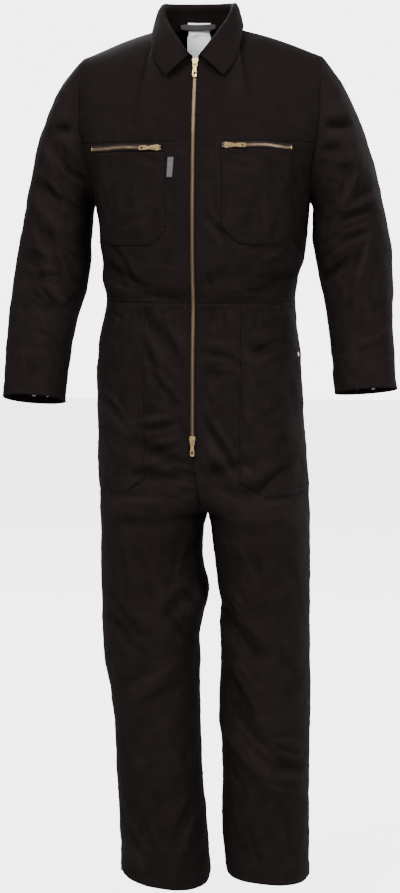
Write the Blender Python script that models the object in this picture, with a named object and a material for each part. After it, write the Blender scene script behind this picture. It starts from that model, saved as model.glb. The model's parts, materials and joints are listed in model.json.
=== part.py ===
"""Boiler suit with no wearer, filled out as worn: cloth panels as thin closed walls, 0.3 mm apart at the seams.

Metres, +Z up, front towards -Y, the wearer's left towards +X. The origin lies between the shoulders, level
with the side of the neck. Each panel is a grid of points on the garment's outer surface. Large folds move
the points along the surface's outward direction, and the wall is built inwards from there.
"""

from collections import namedtuple

import bmesh
import bpy
import numpy as np
from mathutils import Matrix, Vector

# ---------------------------------------------------------------- driving sizes
WALL = 0.0016  # cloth and its seam allowances
COLLAR_WALL = 0.0020  # two layers, pressed
TRIM_WALL = 0.0010  # labels and tapes
SEAM_GAP = 0.0003
RIM_SLANT = 0.00045  # an inner edge stands this much further back than the outer one
LAY_GAP = 0.0003  # between a panel and what is sewn onto it

SIDE_Y = 0.006  # depth of the side seams
YOKE_Z = -0.2065
ARMPIT_Z = -0.311
CROTCH_X, CROTCH_Z = 0.0103, -0.8735
CROTCH_DRIFT_Z = -0.768  # from here down the middle seam drifts to the crotch point
FULLNESS = 2.35  # exponent of the superellipse that the body's sections follow
SLEEVE_FULLNESS = 2.15

ZIP_END_Z = -0.765
CHAIN_HALF = 0.0032  # half the main zip's chain
CHEST_CHAIN_HALF = 0.0025
SIDES = ((-1, "right"), (1, "left"))
CUT_SNAP = 0.0001  # a cut takes points this near as its own
LEVEL_SLACK = 0.001  # rows this near a height count as being at it

Row = namedtuple("Row", "z right_out right_in left_in left_out front back")
# x of the outer and inner sides of each half of the body, and the depth at the front and back. Above the
# crotch an inner side lies past the middle, where the half is cut off. Below it the two sides are a leg.
BODY = [
    Row(-0.200, -0.2300, +0.2300, -0.2300, 0.2300, -0.141, 0.128),
    Row(-0.311, -0.1965, +0.1965, -0.1965, 0.1965, -0.150, 0.127),
    Row(-0.335, -0.1920, +0.1920, -0.1945, 0.1945, -0.151, 0.126),
    Row(-0.379, -0.1880, +0.1880, -0.1900, 0.1900, -0.151, 0.124),
    Row(-0.422, -0.1845, +0.1845, -0.1845, 0.1845, -0.149, 0.120),
    Row(-0.450, -0.1815, +0.1815, -0.1755, 0.1755, -0.145, 0.115),
    Row(-0.490, -0.1762, +0.1762, -0.1695, 0.1695, -0.137, 0.110),
    Row(-0.520, -0.1815, +0.1815, -0.1720, 0.1720, -0.139, 0.113),
    Row(-0.554, -0.1890, +0.1890, -0.1762, 0.1762, -0.143, 0.119),
    Row(-0.600, -0.1930, +0.1930, -0.1812, 0.1812, -0.147, 0.128),
    Row(-0.645, -0.1920, +0.1920, -0.1832, 0.1832, -0.148, 0.133),
    Row(-0.687, -0.1912, +0.1850, -0.1800, 0.1855, -0.149, 0.136),
    Row(-0.730, -0.1905, +0.1720, -0.1660, 0.1885, -0.149, 0.138),
    Row(-0.765, -0.1900, +0.1480, -0.1400, 0.1920, -0.148, 0.138),
    Row(-0.795, -0.1898, +0.1210, -0.1120, 0.1945, -0.146, 0.137),
    Row(-0.820, -0.1895, +0.0920, -0.0820, 0.1960, -0.143, 0.135),
    Row(-0.840, -0.1893, +0.0640, -0.0500, 0.1970, -0.140, 0.133),
    Row(-0.857, -0.1890, +0.0360, -0.0200, 0.1975, -0.137, 0.131),
    Row(-0.8735, -0.1885, +0.0103, +0.0103, 0.1980, -0.134, 0.129),
    Row(-0.888, -0.1880, +0.0068, +0.0145, 0.1985, -0.131, 0.127),
    Row(-0.9335, -0.1880, -0.0020, +0.0205, 0.1988, -0.124, 0.122),
    Row(-0.979, -0.1885, +0.0005, +0.0268, 0.1992, -0.118, 0.118),
    Row(-1.024, -0.1880, +0.0105, +0.0305, 0.1996, -0.112, 0.114),
    Row(-1.045, -0.1880, +0.0095, +0.0325, 0.1998, -0.109, 0.112),
    Row(-1.069, -0.1880, +0.0020, +0.0335, 0.2000, -0.106, 0.110),
    Row(-1.115, -0.1865, -0.0060, +0.0342, 0.2003, -0.102, 0.107),
    Row(-1.160, -0.1825, -0.0064, +0.0340, 0.2003, -0.100, 0.105),
    Row(-1.206, -0.1740, -0.0060, +0.0318, 0.2015, -0.099, 0.103),
    Row(-1.252, -0.1675, -0.0060, +0.0330, 0.2020, -0.097, 0.101),
    Row(-1.298, -0.1638, -0.0045, +0.0365, 0.2010, -0.094, 0.099),
    Row(-1.390, -0.1605, -0.0005, +0.0385, 0.2000, -0.089, 0.096),
    Row(-1.482, -0.1560, +0.0085, +0.0385, 0.2010, -0.086, 0.094),
    Row(-1.530, -0.1545, +0.0115, +0.0425, 0.2010, -0.085, 0.093),
    Row(-1.580, -0.1540, +0.0160, +0.0490, 0.2010, -0.085, 0.092),
]

TROUSER_LEVELS = [
    -0.490, -0.512, -0.536, -0.562, -0.590, -0.620, -0.655, -0.690, -0.728, -0.765, -0.790, -0.812, -0.832,
    -0.849, -0.863, -0.8735, -0.888, -0.915, -0.950, -0.990, -1.025, -1.060, -1.098, -1.140, -1.186, -1.236,
    -1.292, -1.355, -1.425, -1.500, -1.563,
]  # fmt: skip
CHEST_LEVELS = [-0.490, -0.470, -0.449, -0.427, -0.404, -0.380, -0.358, -0.335, -0.311]
ARMHOLE_LEVELS = [-0.302, -0.280, -0.252, -0.228, YOKE_Z]  # the rows beside the lower armhole
Hem = namedtuple("Hem", "lift tilt drop")
# How much higher than the last row, fall towards +X over the width, and how much lower at the front
HEM = {-1: Hem(0.0003, 0.132, 0.0130), 1: Hem(0.0025, 0.070, 0.0000)}
HEM_RISE_Z = -1.30  # above this the rows are level

ARMHOLE_Y, ARMHOLE_Z = 0.006, -0.1800
ARMHOLE_HALF_DEPTH, ARMHOLE_HALF_HEIGHT = 0.070, 0.1310
ArmholeSide = namedtuple("ArmholeSide", "z x")
ARMHOLE = [ArmholeSide(-0.330, 0.1965), ArmholeSide(-0.311, 0.1965), ArmholeSide(-0.275, 0.1985),
           ArmholeSide(-0.228, 0.2060), ArmholeSide(-0.190, 0.2130), ArmholeSide(-0.150, 0.2165),
           ArmholeSide(-0.100, 0.2175), ArmholeSide(-0.040, 0.2170)]  # fmt: skip
UPPER_STEPS = 5  # rows beside the upper armhole
SHOULDER_TURN = 0.515  # where round the armhole the shoulder seam ends: 0 underarm, 0.25 front, 0.5 top

NECK_HALF_WIDTH, NECK_MID_Y, NECK_HALF_DEPTH = 0.0715, -0.017, 0.0885
NECK_FRONT_Z, NECK_SIDE_Z, NECK_BACK_Z = -0.0585, 0.0020, 0.0090
NECK_SIDE_ANGLE = np.radians(104)  # from the front middle round to the shoulder seam
NECK_SHIFT = -0.0066  # the neck and collar stand a little towards the wearer's right
NECK_STEPS = 5
NECK_SHARE = 0.36  # of a row, up to the shoulder seam
SHOULDER_ARCH = 0.0045
# Where the panel over the chest (-1) and over the back (1) meets the neck's middle, and the shoulder seam
TOP_SLOPE = {-1: ((0, 0.22, 0.97), (0, 0.98, 0.18)), 1: ((0, -0.55, 0.83), (0, -0.98, 0.20))}
ACROSS = np.concatenate([np.linspace(0, NECK_SHARE, NECK_STEPS + 1), [0.46, 0.57, 0.68, 0.79, 0.90, 1.0]])
TROUSER_ACROSS = np.linspace(0, 1, 10)

Ring = namedtuple("Ring", "z right_out right_in left_in left_out y half_depth")
# x of a sleeve's outer and inner sides, its middle's depth and half its own depth, at its spine's height
SLEEVE = [
    Ring(-0.338, -0.3320, -0.2045, 0.2010, 0.3345, 0.008, 0.072),
    Ring(-0.379, -0.3400, -0.2085, 0.2015, 0.3425, 0.007, 0.071),
    Ring(-0.422, -0.3475, -0.2088, 0.2098, 0.3470, 0.005, 0.068),
    Ring(-0.444, -0.3505, -0.2120, 0.2130, 0.3480, 0.003, 0.066),
    Ring(-0.467, -0.3525, -0.2165, 0.2190, 0.3488, 0.000, 0.064),
    Ring(-0.510, -0.3588, -0.2290, 0.2290, 0.3485, -0.007, 0.058),
    Ring(-0.555, -0.3610, -0.2385, 0.2345, 0.3508, -0.016, 0.053),
    Ring(-0.599, -0.3628, -0.2440, 0.2412, 0.3535, -0.026, 0.049),
    Ring(-0.665, -0.3655, -0.2500, 0.2450, 0.3600, -0.040, 0.045),
]
CAP_STEPS = 5  # rings between the armhole and the first ring of the table
SLEEVE_LEVELS = [-0.338, -0.364, -0.392, -0.420, -0.449, -0.478, -0.510, -0.548, -0.590, -0.630]
Cuff = namedtuple("Cuff", "z tilt lean")
# Height, rise towards +X over the width, and how far the back lies below the front over the depth
CUFF = {-1: Cuff(-0.6705, -0.045, 0.27), 1: Cuff(-0.6505, 0.085, 0.19)}
CAP_SLOPE = {-1: (0.74, 0.67), 1: (0.66, 0.75)}  # out and down, where a sleeve leaves the shoulder
UNDERARM_SLOPE = (0.85, 0.50)
CAP_SPREAD = 0.22  # how far a sleeve widens forwards and backwards as it leaves the armhole

Fold = namedtuple("Fold", "x0 z0 x1 z1 width depth")
# Each runs from (x0, z0) to (x1, z1) seen from the front, width across and depth into (-) or out of the cloth
FRONT_FOLDS = [
    Fold(-0.185, -0.412, -0.088, -0.462, 0.014, -0.0065),
    Fold(-0.188, -0.448, -0.120, -0.478, 0.011, 0.0035),
    Fold(-0.075, -0.470, -0.010, -0.482, 0.012, -0.0030),
    Fold(0.185, -0.425, 0.110, -0.468, 0.014, -0.0055),
    Fold(0.120, -0.448, 0.040, -0.476, 0.013, 0.0035),
    Fold(0.060, -0.430, 0.015, -0.455, 0.012, -0.0025),
    Fold(-0.100, -0.500, -0.035, -0.565, 0.015, -0.0050),
    Fold(0.095, -0.560, 0.150, -0.585, 0.012, -0.0045),
    Fold(0.012, -0.602, 0.062, -0.612, 0.012, -0.0035),
    Fold(-0.175, -0.680, -0.100, -0.722, 0.013, 0.0045),
    Fold(-0.180, -0.655, -0.115, -0.700, 0.012, -0.0030),
    Fold(-0.010, -0.775, -0.108, -0.735, 0.014, -0.0060),
    Fold(-0.010, -0.800, -0.120, -0.790, 0.012, -0.0045),
    Fold(0.020, -0.735, 0.085, -0.800, 0.014, 0.0050),
    Fold(0.010, -0.790, 0.105, -0.770, 0.013, -0.0050),
    Fold(0.185, -0.775, 0.085, -0.830, 0.014, -0.0050),
    Fold(-0.150, -0.856, -0.070, -0.846, 0.013, 0.0032),
    Fold(-0.150, -0.885, -0.045, -0.872, 0.014, -0.0032),
    Fold(0.030, -1.030, 0.072, -1.085, 0.016, -0.0070),
    Fold(0.075, -1.085, 0.120, -1.130, 0.015, -0.0060),
    Fold(0.045, -1.170, 0.105, -1.270, 0.024, -0.0080),
    Fold(0.048, -1.265, 0.150, -1.375, 0.018, 0.0070),
    Fold(0.140, -1.325, 0.198, -1.350, 0.014, -0.0060),
    Fold(-0.010, -1.010, -0.060, -1.060, 0.016, -0.0055),
    Fold(-0.175, -1.060, -0.100, -1.100, 0.018, -0.0050),
    Fold(-0.040, -1.150, -0.120, -1.210, 0.020, 0.0055),
    Fold(-0.140, -1.480, -0.095, -1.550, 0.014, 0.0050),
    Fold(-0.012, -1.460, -0.045, -1.535, 0.013, 0.0040),
]
BACK_FOLDS = [
    Fold(-0.150, -0.260, -0.105, -0.400, 0.016, -0.0050),
    Fold(0.155, -0.255, 0.110, -0.390, 0.016, -0.0050),
    Fold(-0.180, -0.425, -0.060, -0.468, 0.015, -0.0065),
    Fold(0.178, -0.430, 0.050, -0.470, 0.015, -0.0060),
    Fold(-0.050, -0.445, 0.060, -0.452, 0.013, 0.0045),
    Fold(-0.130, -0.560, -0.030, -0.600, 0.015, -0.0035),
    Fold(-0.015, -0.790, -0.120, -0.755, 0.016, -0.0065),
    Fold(0.025, -0.795, 0.125, -0.752, 0.016, -0.0065),
    Fold(-0.030, -0.850, -0.125, -0.915, 0.015, -0.0050),
    Fold(0.045, -0.852, 0.140, -0.912, 0.015, -0.0050),
    Fold(-0.040, -0.905, -0.120, -0.965, 0.015, 0.0040),
    Fold(0.055, -0.905, 0.135, -0.960, 0.015, 0.0040),
    Fold(-0.025, -1.115, -0.150, -1.095, 0.018, -0.0070),
    Fold(0.050, -1.120, 0.175, -1.100, 0.018, -0.0070),
    Fold(-0.030, -1.165, -0.140, -1.150, 0.015, 0.0050),
    Fold(0.055, -1.168, 0.165, -1.150, 0.015, 0.0050),
    Fold(-0.120, -1.440, -0.060, -1.530, 0.016, -0.0045),
    Fold(0.090, -1.430, 0.150, -1.520, 0.016, -0.0045),
]
RIGHT_SLEEVE_FRONT_FOLDS = [
    Fold(-0.222, -0.172, -0.268, -0.180, 0.012, -0.0080),
    Fold(-0.262, -0.200, -0.200, -0.280, 0.013, -0.0070),
    Fold(-0.290, -0.190, -0.238, -0.298, 0.013, 0.0060),
    Fold(-0.304, -0.265, -0.232, -0.318, 0.012, -0.0080),
    Fold(-0.308, -0.300, -0.250, -0.360, 0.013, 0.0050),
    Fold(-0.300, -0.342, -0.262, -0.385, 0.012, -0.0075),
    Fold(-0.328, -0.398, -0.286, -0.425, 0.012, -0.0070),
    Fold(-0.318, -0.442, -0.275, -0.450, 0.011, -0.0055),
    Fold(-0.308, -0.468, -0.262, -0.505, 0.013, -0.0070),
    Fold(-0.338, -0.486, -0.290, -0.512, 0.011, -0.0045),
    Fold(-0.300, -0.345, -0.250, -0.500, 0.014, 0.0050),
]
LEFT_SLEEVE_FRONT_FOLDS = [
    Fold(0.222, -0.170, 0.272, -0.172, 0.013, -0.0085),
    Fold(0.225, -0.192, 0.268, -0.190, 0.010, 0.0050),
    Fold(0.222, -0.216, 0.250, -0.214, 0.009, -0.0040),
    Fold(0.268, -0.192, 0.288, -0.255, 0.012, 0.0055),
    Fold(0.288, -0.255, 0.248, -0.325, 0.013, 0.0050),
    Fold(0.244, -0.254, 0.282, -0.254, 0.011, -0.0060),
    Fold(0.272, -0.308, 0.312, -0.275, 0.012, -0.0075),
    Fold(0.248, -0.346, 0.322, -0.316, 0.013, -0.0080),
    Fold(0.250, -0.378, 0.304, -0.358, 0.012, -0.0070),
    Fold(0.255, -0.402, 0.308, -0.364, 0.010, 0.0040),
    Fold(0.215, -0.448, 0.272, -0.414, 0.014, -0.0080),
    Fold(0.312, -0.372, 0.280, -0.478, 0.013, 0.0055),
]
RIGHT_SLEEVE_BACK_FOLDS = [
    Fold(-0.225, -0.190, -0.285, -0.225, 0.014, -0.0070),
    Fold(-0.232, -0.262, -0.312, -0.300, 0.014, 0.0055),
    Fold(-0.225, -0.335, -0.318, -0.352, 0.013, -0.0070),
    Fold(-0.240, -0.400, -0.325, -0.388, 0.012, 0.0045),
    Fold(-0.235, -0.440, -0.330, -0.452, 0.013, -0.0060),
]
LEFT_SLEEVE_BACK_FOLDS = [
    Fold(0.225, -0.185, 0.288, -0.218, 0.014, -0.0070),
    Fold(0.235, -0.258, 0.310, -0.292, 0.014, 0.0055),
    Fold(0.225, -0.330, 0.320, -0.348, 0.013, -0.0070),
    Fold(0.238, -0.396, 0.325, -0.402, 0.012, 0.0045),
    Fold(0.238, -0.446, 0.325, -0.440, 0.013, -0.0060),
]
SLEEVE_FOLDS = {
    -1: (RIGHT_SLEEVE_FRONT_FOLDS, RIGHT_SLEEVE_BACK_FOLDS),
    1: (LEFT_SLEEVE_FRONT_FOLDS, LEFT_SLEEVE_BACK_FOLDS),
}
CAP_FADE = 0.030  # folds fade out over this much beside an armhole
FACING_SOFTNESS = 0.30  # how gradually a front fold ends on the sides

CollarStation = namedtuple("CollarStation", "angle roll_x roll_y roll_z edge_x edge_y edge_z")
# Round the neck from the front middle (0 degrees) to the back: the roll line, and the fall's outer edge
COLLAR = [
    CollarStation(0, 0.0125, -0.1180, -0.0500, 0.0505, -0.1200, -0.0885),
    CollarStation(22, 0.0235, -0.1040, -0.0335, 0.0670, -0.1040, -0.0690),
    CollarStation(44, 0.0385, -0.0790, -0.0110, 0.0760, -0.0850, -0.0420),
    CollarStation(66, 0.0545, -0.0460, 0.0155, 0.0805, -0.0550, -0.0170),
    CollarStation(88, 0.0635, -0.0160, 0.0390, 0.0815, -0.0180, +0.0010),
    CollarStation(104, 0.0638, 0.0060, 0.0470, 0.0800, 0.0080, +0.0055),
    CollarStation(128, 0.0570, 0.0400, 0.0505, 0.0700, 0.0560, +0.0065),
    CollarStation(154, 0.0320, 0.0620, 0.0520, 0.0410, 0.0840, +0.0055),
    CollarStation(180, 0.0000, 0.0690, 0.0525, 0.0000, 0.0930, +0.0050),
]
COLLAR_FRONT_X = 0.0062  # the foot of the stand begins this far from the middle
ROLL_RADIUS = 0.0030
ROLL = [(-1, -1), (0, 0), (1, -0.2), (1.9, -1.6)]  # out and up from the roll line, in roll radii
STAND_HOLLOW, FALL_BULGE = 0.0015, 0.0040
COLLAR_LIFT = 0.0012  # between the neckline and the foot of the stand
COLLAR_REST = 0.0014  # between the fall and the shoulders

PocketCut = namedtuple("PocketCut", "inner outer top bottom inner_corner outer_corner")
CHEST_POCKET = {-1: PocketCut(0.049, 0.181, -0.2235, -0.3876, 0.025, 0.020),
                1: PocketCut(0.0515, 0.173, -0.2185, -0.3850, 0.030, 0.022)}  # fmt: skip
HIP_POCKET = {-1: PocketCut(0.0890, 0.1865, -0.4935, -0.8300, 0.026, 0.0),
              1: PocketCut(0.0840, 0.1900, -0.4935, -0.8350, 0.028, 0.0)}  # fmt: skip
Mouth = namedtuple("Mouth", "top_x bottom_x bottom_z")
HIP_MOUTH = {-1: Mouth(0.1443, 0.1765, -0.570), 1: Mouth(0.1490, 0.1765, -0.588)}
POCKET_WALL = 0.0014
HIP_POCKET_DEPTH = -0.006  # the hip pockets end just before the side seams

ChestZip = namedtuple("ChestZip", "inner outer z slider")
CHEST_ZIP = {-1: ChestZip(0.0570, 0.1885, -0.2160, 0.0680), 1: ChestZip(0.0515, 0.1705, -0.2118, 0.0646)}
CHAIN_FRONT = 0.0008  # how far the main chain stands out of the fronts
ZIP_START = 0.06  # the zip begins this share of the first row below the neck seam
TAPE_HALF, TAPE_GAP, TAPE_LAYER = 0.0120, 0.0007, 0.0009
CHEST_CHAIN_LAYER = 0.0017
ZIP_CALM = 0.035  # folds are weaker than elsewhere within this distance of the zip
ZIP_STRENGTH = 0.25

TAG_TOP_Z, TAG_BOTTOM_Z, TAG_INNER_X, TAG_OUTER_X = -0.2330, -0.2680, 0.0378, 0.0486
LABEL_MIDDLE_X, LABEL_WIDTH, LABEL_TOP_Z, LABEL_BOTTOM_Z = -0.0140, 0.043, 0.0165, -0.0520
LOOP_WIDTH, LOOP_TOP_Z, LOOP_BOTTOM_Z, LOOP_BULGE = 0.071, 0.0170, 0.0060, 0.0026
LABEL_REST = 0.0004

TOP_SLIDER_Z, BOTTOM_SLIDER_Z = -0.0680, -0.7345  # heights of the pull tabs' axes on the main zip
CHEST_SCALE = 0.94  # the chest sliders are smaller
PLATE = [(-0.0047, -0.0064), (0.0047, -0.0064), (0.0050, 0.0005), (0.0063, 0.0040), (0.0063, 0.0080),
         (0.0042, 0.0100), (-0.0042, 0.0100), (-0.0063, 0.0080), (-0.0063, 0.0040), (-0.0050, 0.0005)]  # fmt: skip
PLATE_THICKNESS = 0.0014
AXIS_HEIGHT = 0.0029  # of the pull's axis over the plate's foot
BRIDGE_WIDTH, BRIDGE_THICKNESS = 0.0022, 0.0009
BRIDGE_HALF_LENGTH, BRIDGE_TOP, BRIDGE_CORNER = 0.0038, 0.0047, 0.0012
TAB_LENGTH = {"main": 0.0262, "chest": 0.0300}
TAB_HALF_WIDTH, TAB_THICKNESS = 0.0047, 0.0011
TAB_BAR = 0.0006  # half the width of the tab's crossbar
TAB_NECK_HALF, TAB_NECK_END = 0.0035, 0.0105
TAB_WINDOW_END, TAB_WINDOW_HALF, TAB_CORNER = 0.0062, 0.0022, 0.0020
TAB_HOLE_FROM_END, TAB_HOLE_RADIUS = 0.0065, 0.0020
HOLE_POINTS = 12
SLIDER_LIFT = 0.0003  # between a chain and the foot of its slider
SLIDER_REACH = 0.009  # how far each way along the chain a slider is laid level with the cloth


# ---------------------------------------------------------------- curves and fields
def smooth(at, where, values):
    """Cubic through the table's points, with the slope at each point that of its neighbours."""
    order = np.argsort(where)
    where, values = np.asarray(where, float)[order], np.asarray(values, float)[order]
    slopes = np.gradient(values, where)
    at = np.clip(np.asarray(at, float), where[0], where[-1])
    i = np.clip(np.searchsorted(where, at) - 1, 0, len(where) - 2)
    span = where[i + 1] - where[i]
    t = (at - where[i]) / span
    return hermite(values[i], span * slopes[i], values[i + 1], span * slopes[i + 1], t)


def column(table, name, at):
    """The named column of a table at these heights or angles."""
    key = table[0]._fields[0]
    return smooth(at, [getattr(row, key) for row in table], [getattr(row, name) for row in table])


def unit(vectors):
    return vectors / np.maximum(np.linalg.norm(vectors, axis=-1, keepdims=True), 1e-12)


def power(value, exponent):
    """A sine or cosine raised so that the section becomes a superellipse."""
    return np.sign(value) * np.abs(value) ** (2 / exponent)


def ease(value):
    value = np.clip(value, 0, 1)
    return value * value * (3 - 2 * value)


def hermite(start, start_slope, end, end_slope, t):
    return (
        (2 * t**3 - 3 * t**2 + 1) * start
        + (t**3 - 2 * t**2 + t) * start_slope
        + (3 * t**2 - 2 * t**3) * end
        + (t**3 - t**2) * end_slope
    )


def fold_height(points, folds):
    """Sum over the folds of depth * exp(-(distance / width)^2), each fading out towards its two ends."""
    total = np.zeros(points.shape[:-1])
    for fold in folds:
        start = np.array([fold.x0, fold.z0])
        along = np.array([fold.x1, fold.z1]) - start
        offset = points[..., [0, 2]] - start
        t = np.clip(offset @ along / (along @ along), 0, 1)
        away = np.linalg.norm(offset - t[..., None] * along, axis=-1)
        fade = np.sin(np.pi * (0.08 + 0.84 * t)) ** 0.7
        total += fold.depth * fade * np.exp(-((away / fold.width) ** 2))
    return total


def folded(points, outward, front_folds, back_folds, strength=1.0):
    """The points moved along their outward directions by the front and back folds."""
    front = ease(0.5 - outward[..., 1] / (2 * FACING_SOFTNESS))
    height = front * fold_height(points, front_folds) + (1 - front) * fold_height(points, back_folds)
    return points + outward * (strength * height)[..., None]


# ---------------------------------------------------------------- panels as grids of points
Panel = namedtuple("Panel", "points outward turned")


def grid_normals(grid, closed=False):
    """Direction at each point from its neighbours: the cross product of along-the-row and down-the-rows."""
    down = np.gradient(grid, axis=0)
    if closed:
        across = np.roll(grid, -1, axis=1) - np.roll(grid, 1, axis=1)
    else:
        across = np.gradient(grid, axis=1)
    return unit(np.cross(across, down))


def panel(points, facing, closed=False):
    """facing is -1 where the columns run the other way round, so that the faces have to be turned."""
    return Panel(points, grid_normals(points, closed) * facing, facing < 0)


def share_outward(first, first_part, second, second_part):
    """Gives two panels the same outward directions along the seam between them."""
    common = unit(first.outward[first_part] + second.outward[second_part])
    first.outward[first_part] = common
    second.outward[second_part] = common


def inset(grid, amounts, closed):
    """The grid with its border moved inwards: amounts are for the first and last row, first and last column."""
    moved = grid.copy()
    first_row, last_row, first_column, last_column = amounts
    moved[0] += unit(grid[1] - grid[0]) * np.reshape(first_row, (-1, 1))
    moved[-1] += unit(grid[-2] - grid[-1]) * np.reshape(last_row, (-1, 1))
    if not closed:
        moved[:, 0] += unit(grid[:, 1] - grid[:, 0]) * np.reshape(first_column, (-1, 1))
        moved[:, -1] += unit(grid[:, -2] - grid[:, -1]) * np.reshape(last_column, (-1, 1))
    return moved


def grid_faces(rows, columns, closed, turned):
    """Two triangles a cell, with the same diagonal everywhere, and each with its outer side out."""
    faces = []
    for i in range(rows - 1):
        for j in range(columns if closed else columns - 1):
            k = (j + 1) % columns
            near, right, down, far = (i, j), (i, k), (i + 1, j), (i + 1, k)
            pair = [(near, right, far), (near, far, down)]
            faces += [corners[::-1] for corners in pair] if turned else pair
    return faces


def solid(name, outer, inner, faces, look):
    """Closed wall between two copies of the same faces, with rims along their open edges."""
    builder = bmesh.new()
    outside = {key: builder.verts.new(point) for key, point in outer.items()}
    inside = {key: builder.verts.new(point) for key, point in inner.items()}
    edges = {}
    for corners in faces:
        builder.faces.new([outside[key] for key in corners])
        builder.faces.new([inside[key] for key in corners[::-1]])
        for start, end in zip(corners, corners[1:] + corners[:1]):
            if (end, start) in edges:
                del edges[end, start]
            else:
                edges[start, end] = True
    for start, end in edges:
        builder.faces.new([outside[end], outside[start], inside[start], inside[end]])
    return finish_mesh(name, builder, look)


def finish_mesh(name, builder, look, angle=50):
    mesh = bpy.data.meshes.new(name)
    builder.to_mesh(mesh)
    builder.free()
    mesh.shade_smooth()
    mesh.set_sharp_from_angle(angle=np.radians(angle))
    return place(name, mesh, look)


def place(name, mesh, look):
    item = bpy.data.objects.new(name, mesh)
    item.data.materials.append(look)
    garment.objects.link(item)
    return item


def keyed(grid):
    rows, columns = grid.shape[:2]
    return {(i, j): tuple(grid[i, j]) for i in range(rows) for j in range(columns)}


def cloth(name, sheet, look, closed=False, gaps=(1, 1, 1, 1)):
    """Wall of cloth inwards from a panel. gaps sets each border back, in halves of the seam gap."""
    setback = [np.asarray(gap) * SEAM_GAP / 2 for gap in gaps]
    outer = inset(sheet.points, setback, closed)
    inner = inset(sheet.points - sheet.outward * WALL, [amount + RIM_SLANT for amount in setback], closed)
    rows, columns = outer.shape[:2]
    return solid(name, keyed(outer), keyed(inner), grid_faces(rows, columns, closed, sheet.turned), look)


def slab(name, grid, thickness, look):
    """Wall on both sides of a free grid."""
    away = grid_normals(grid) * thickness / 2
    rows, columns = grid.shape[:2]
    return solid(name, keyed(grid + away), keyed(grid - away), grid_faces(rows, columns, False, False), look)


def laid_on(name, sheet, planes, low, high, look):
    """The part of a panel that lies behind every plane, as a wall between two distances off it."""
    builder = bmesh.new()
    rows, columns = sheet.points.shape[:2]
    verts = {key: builder.verts.new(point) for key, point in keyed(sheet.points).items()}
    for corners in grid_faces(rows, columns, False, sheet.turned):
        builder.faces.new([verts[key] for key in corners])
    for point, direction in planes:
        everything = builder.verts[:] + builder.edges[:] + builder.faces[:]
        bmesh.ops.bisect_plane(
            builder, geom=everything, dist=CUT_SNAP, plane_co=point, plane_no=direction, clear_outer=True
        )
    builder.normal_update()
    builder.verts.index_update()
    outer = {v.index: v.co + v.normal * high for v in builder.verts}
    inner = {v.index: v.co + v.normal * low for v in builder.verts}
    faces = [[v.index for v in face.verts] for face in builder.faces]
    builder.free()
    return solid(name, outer, inner, faces, look)


def beyond_x(x, side, sign):
    """Plane that leaves what lies on one side of x: sign +1 cuts off what is further out."""
    return (side * x, 0, 0), (sign * side, 0, 0)


def beyond_z(z, sign):
    return (0, 0, z), (0, 0, sign)


def slanted(side, x0, z0, x1, z1):
    """Plane through two points, x counted outwards, that cuts off what lies to the left of the way there."""
    return (side * x0, 0, z0), (side * (z0 - z1), 0, x1 - x0)


def dense(grid, times):
    """The grid with each cell parted into times by times."""
    for axis in (0, 1):
        count = grid.shape[axis]
        at = np.linspace(0, count - 1, (count - 1) * times + 1)
        low = np.minimum(at.astype(int), count - 2)
        t = (at - low).reshape((-1, 1, 1) if axis == 0 else (1, -1, 1))
        grid = np.take(grid, low, axis) * (1 - t) + np.take(grid, low + 1, axis) * t
    return grid


def rest_on(points, sheets, clearance):
    """The points moved out of the panels until each lies at least the clearance above them."""
    flat = np.concatenate([dense(sheet.points, 5).reshape(-1, 3) for sheet in sheets])
    outward = np.concatenate([unit(dense(sheet.outward, 5)).reshape(-1, 3) for sheet in sheets])
    moved = points.copy()
    for _ in range(4):
        nearest = np.argmin(((moved[..., None, :] - flat) ** 2).sum(-1), axis=-1)
        height = np.sum((moved - flat[nearest]) * outward[nearest], axis=-1)
        moved += outward[nearest] * np.maximum(clearance - height, 0)[..., None]
    return moved


# ---------------------------------------------------------------- the body's surface
def middle_x(z):
    """x of the plane that parts the halves above the crotch, drifting towards the crotch point."""
    return CROTCH_X * ease((CROTCH_DRIFT_Z - z) / (CROTCH_DRIFT_Z - CROTCH_Z))


def side_columns(side):
    return ("right_out", "right_in") if side < 0 else ("left_out", "left_in")


def body_outward(points, side):
    """Level direction away from the middle of the half that holds each point."""
    outer, inner = side_columns(side)
    z = points[..., 2]
    middle = 0.5 * (column(BODY, outer, z) + column(BODY, inner, z))
    half = np.abs(column(BODY, outer, z) - middle)
    depth = 0.5 * (column(BODY, "back", z) - column(BODY, "front", z))
    direction = np.stack(
        [(points[..., 0] - middle) / half**2, (points[..., 1] - SIDE_Y) / depth**2, 0 * z], axis=-1
    )
    return unit(direction)


def zip_calm(points):
    """Strength of the folds, weaker beside the zip on the front."""
    near = 1 - ease(np.abs(points[..., 0]) / ZIP_CALM)
    on_front = (points[..., 1] < 0) & (points[..., 2] > ZIP_END_Z)
    return 1 - (1 - ZIP_STRENGTH) * near * on_front


def fold_body(grid, side, strength=1.0):
    return folded(grid, body_outward(grid, side), FRONT_FOLDS, BACK_FOLDS, strength * zip_calm(grid))


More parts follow.
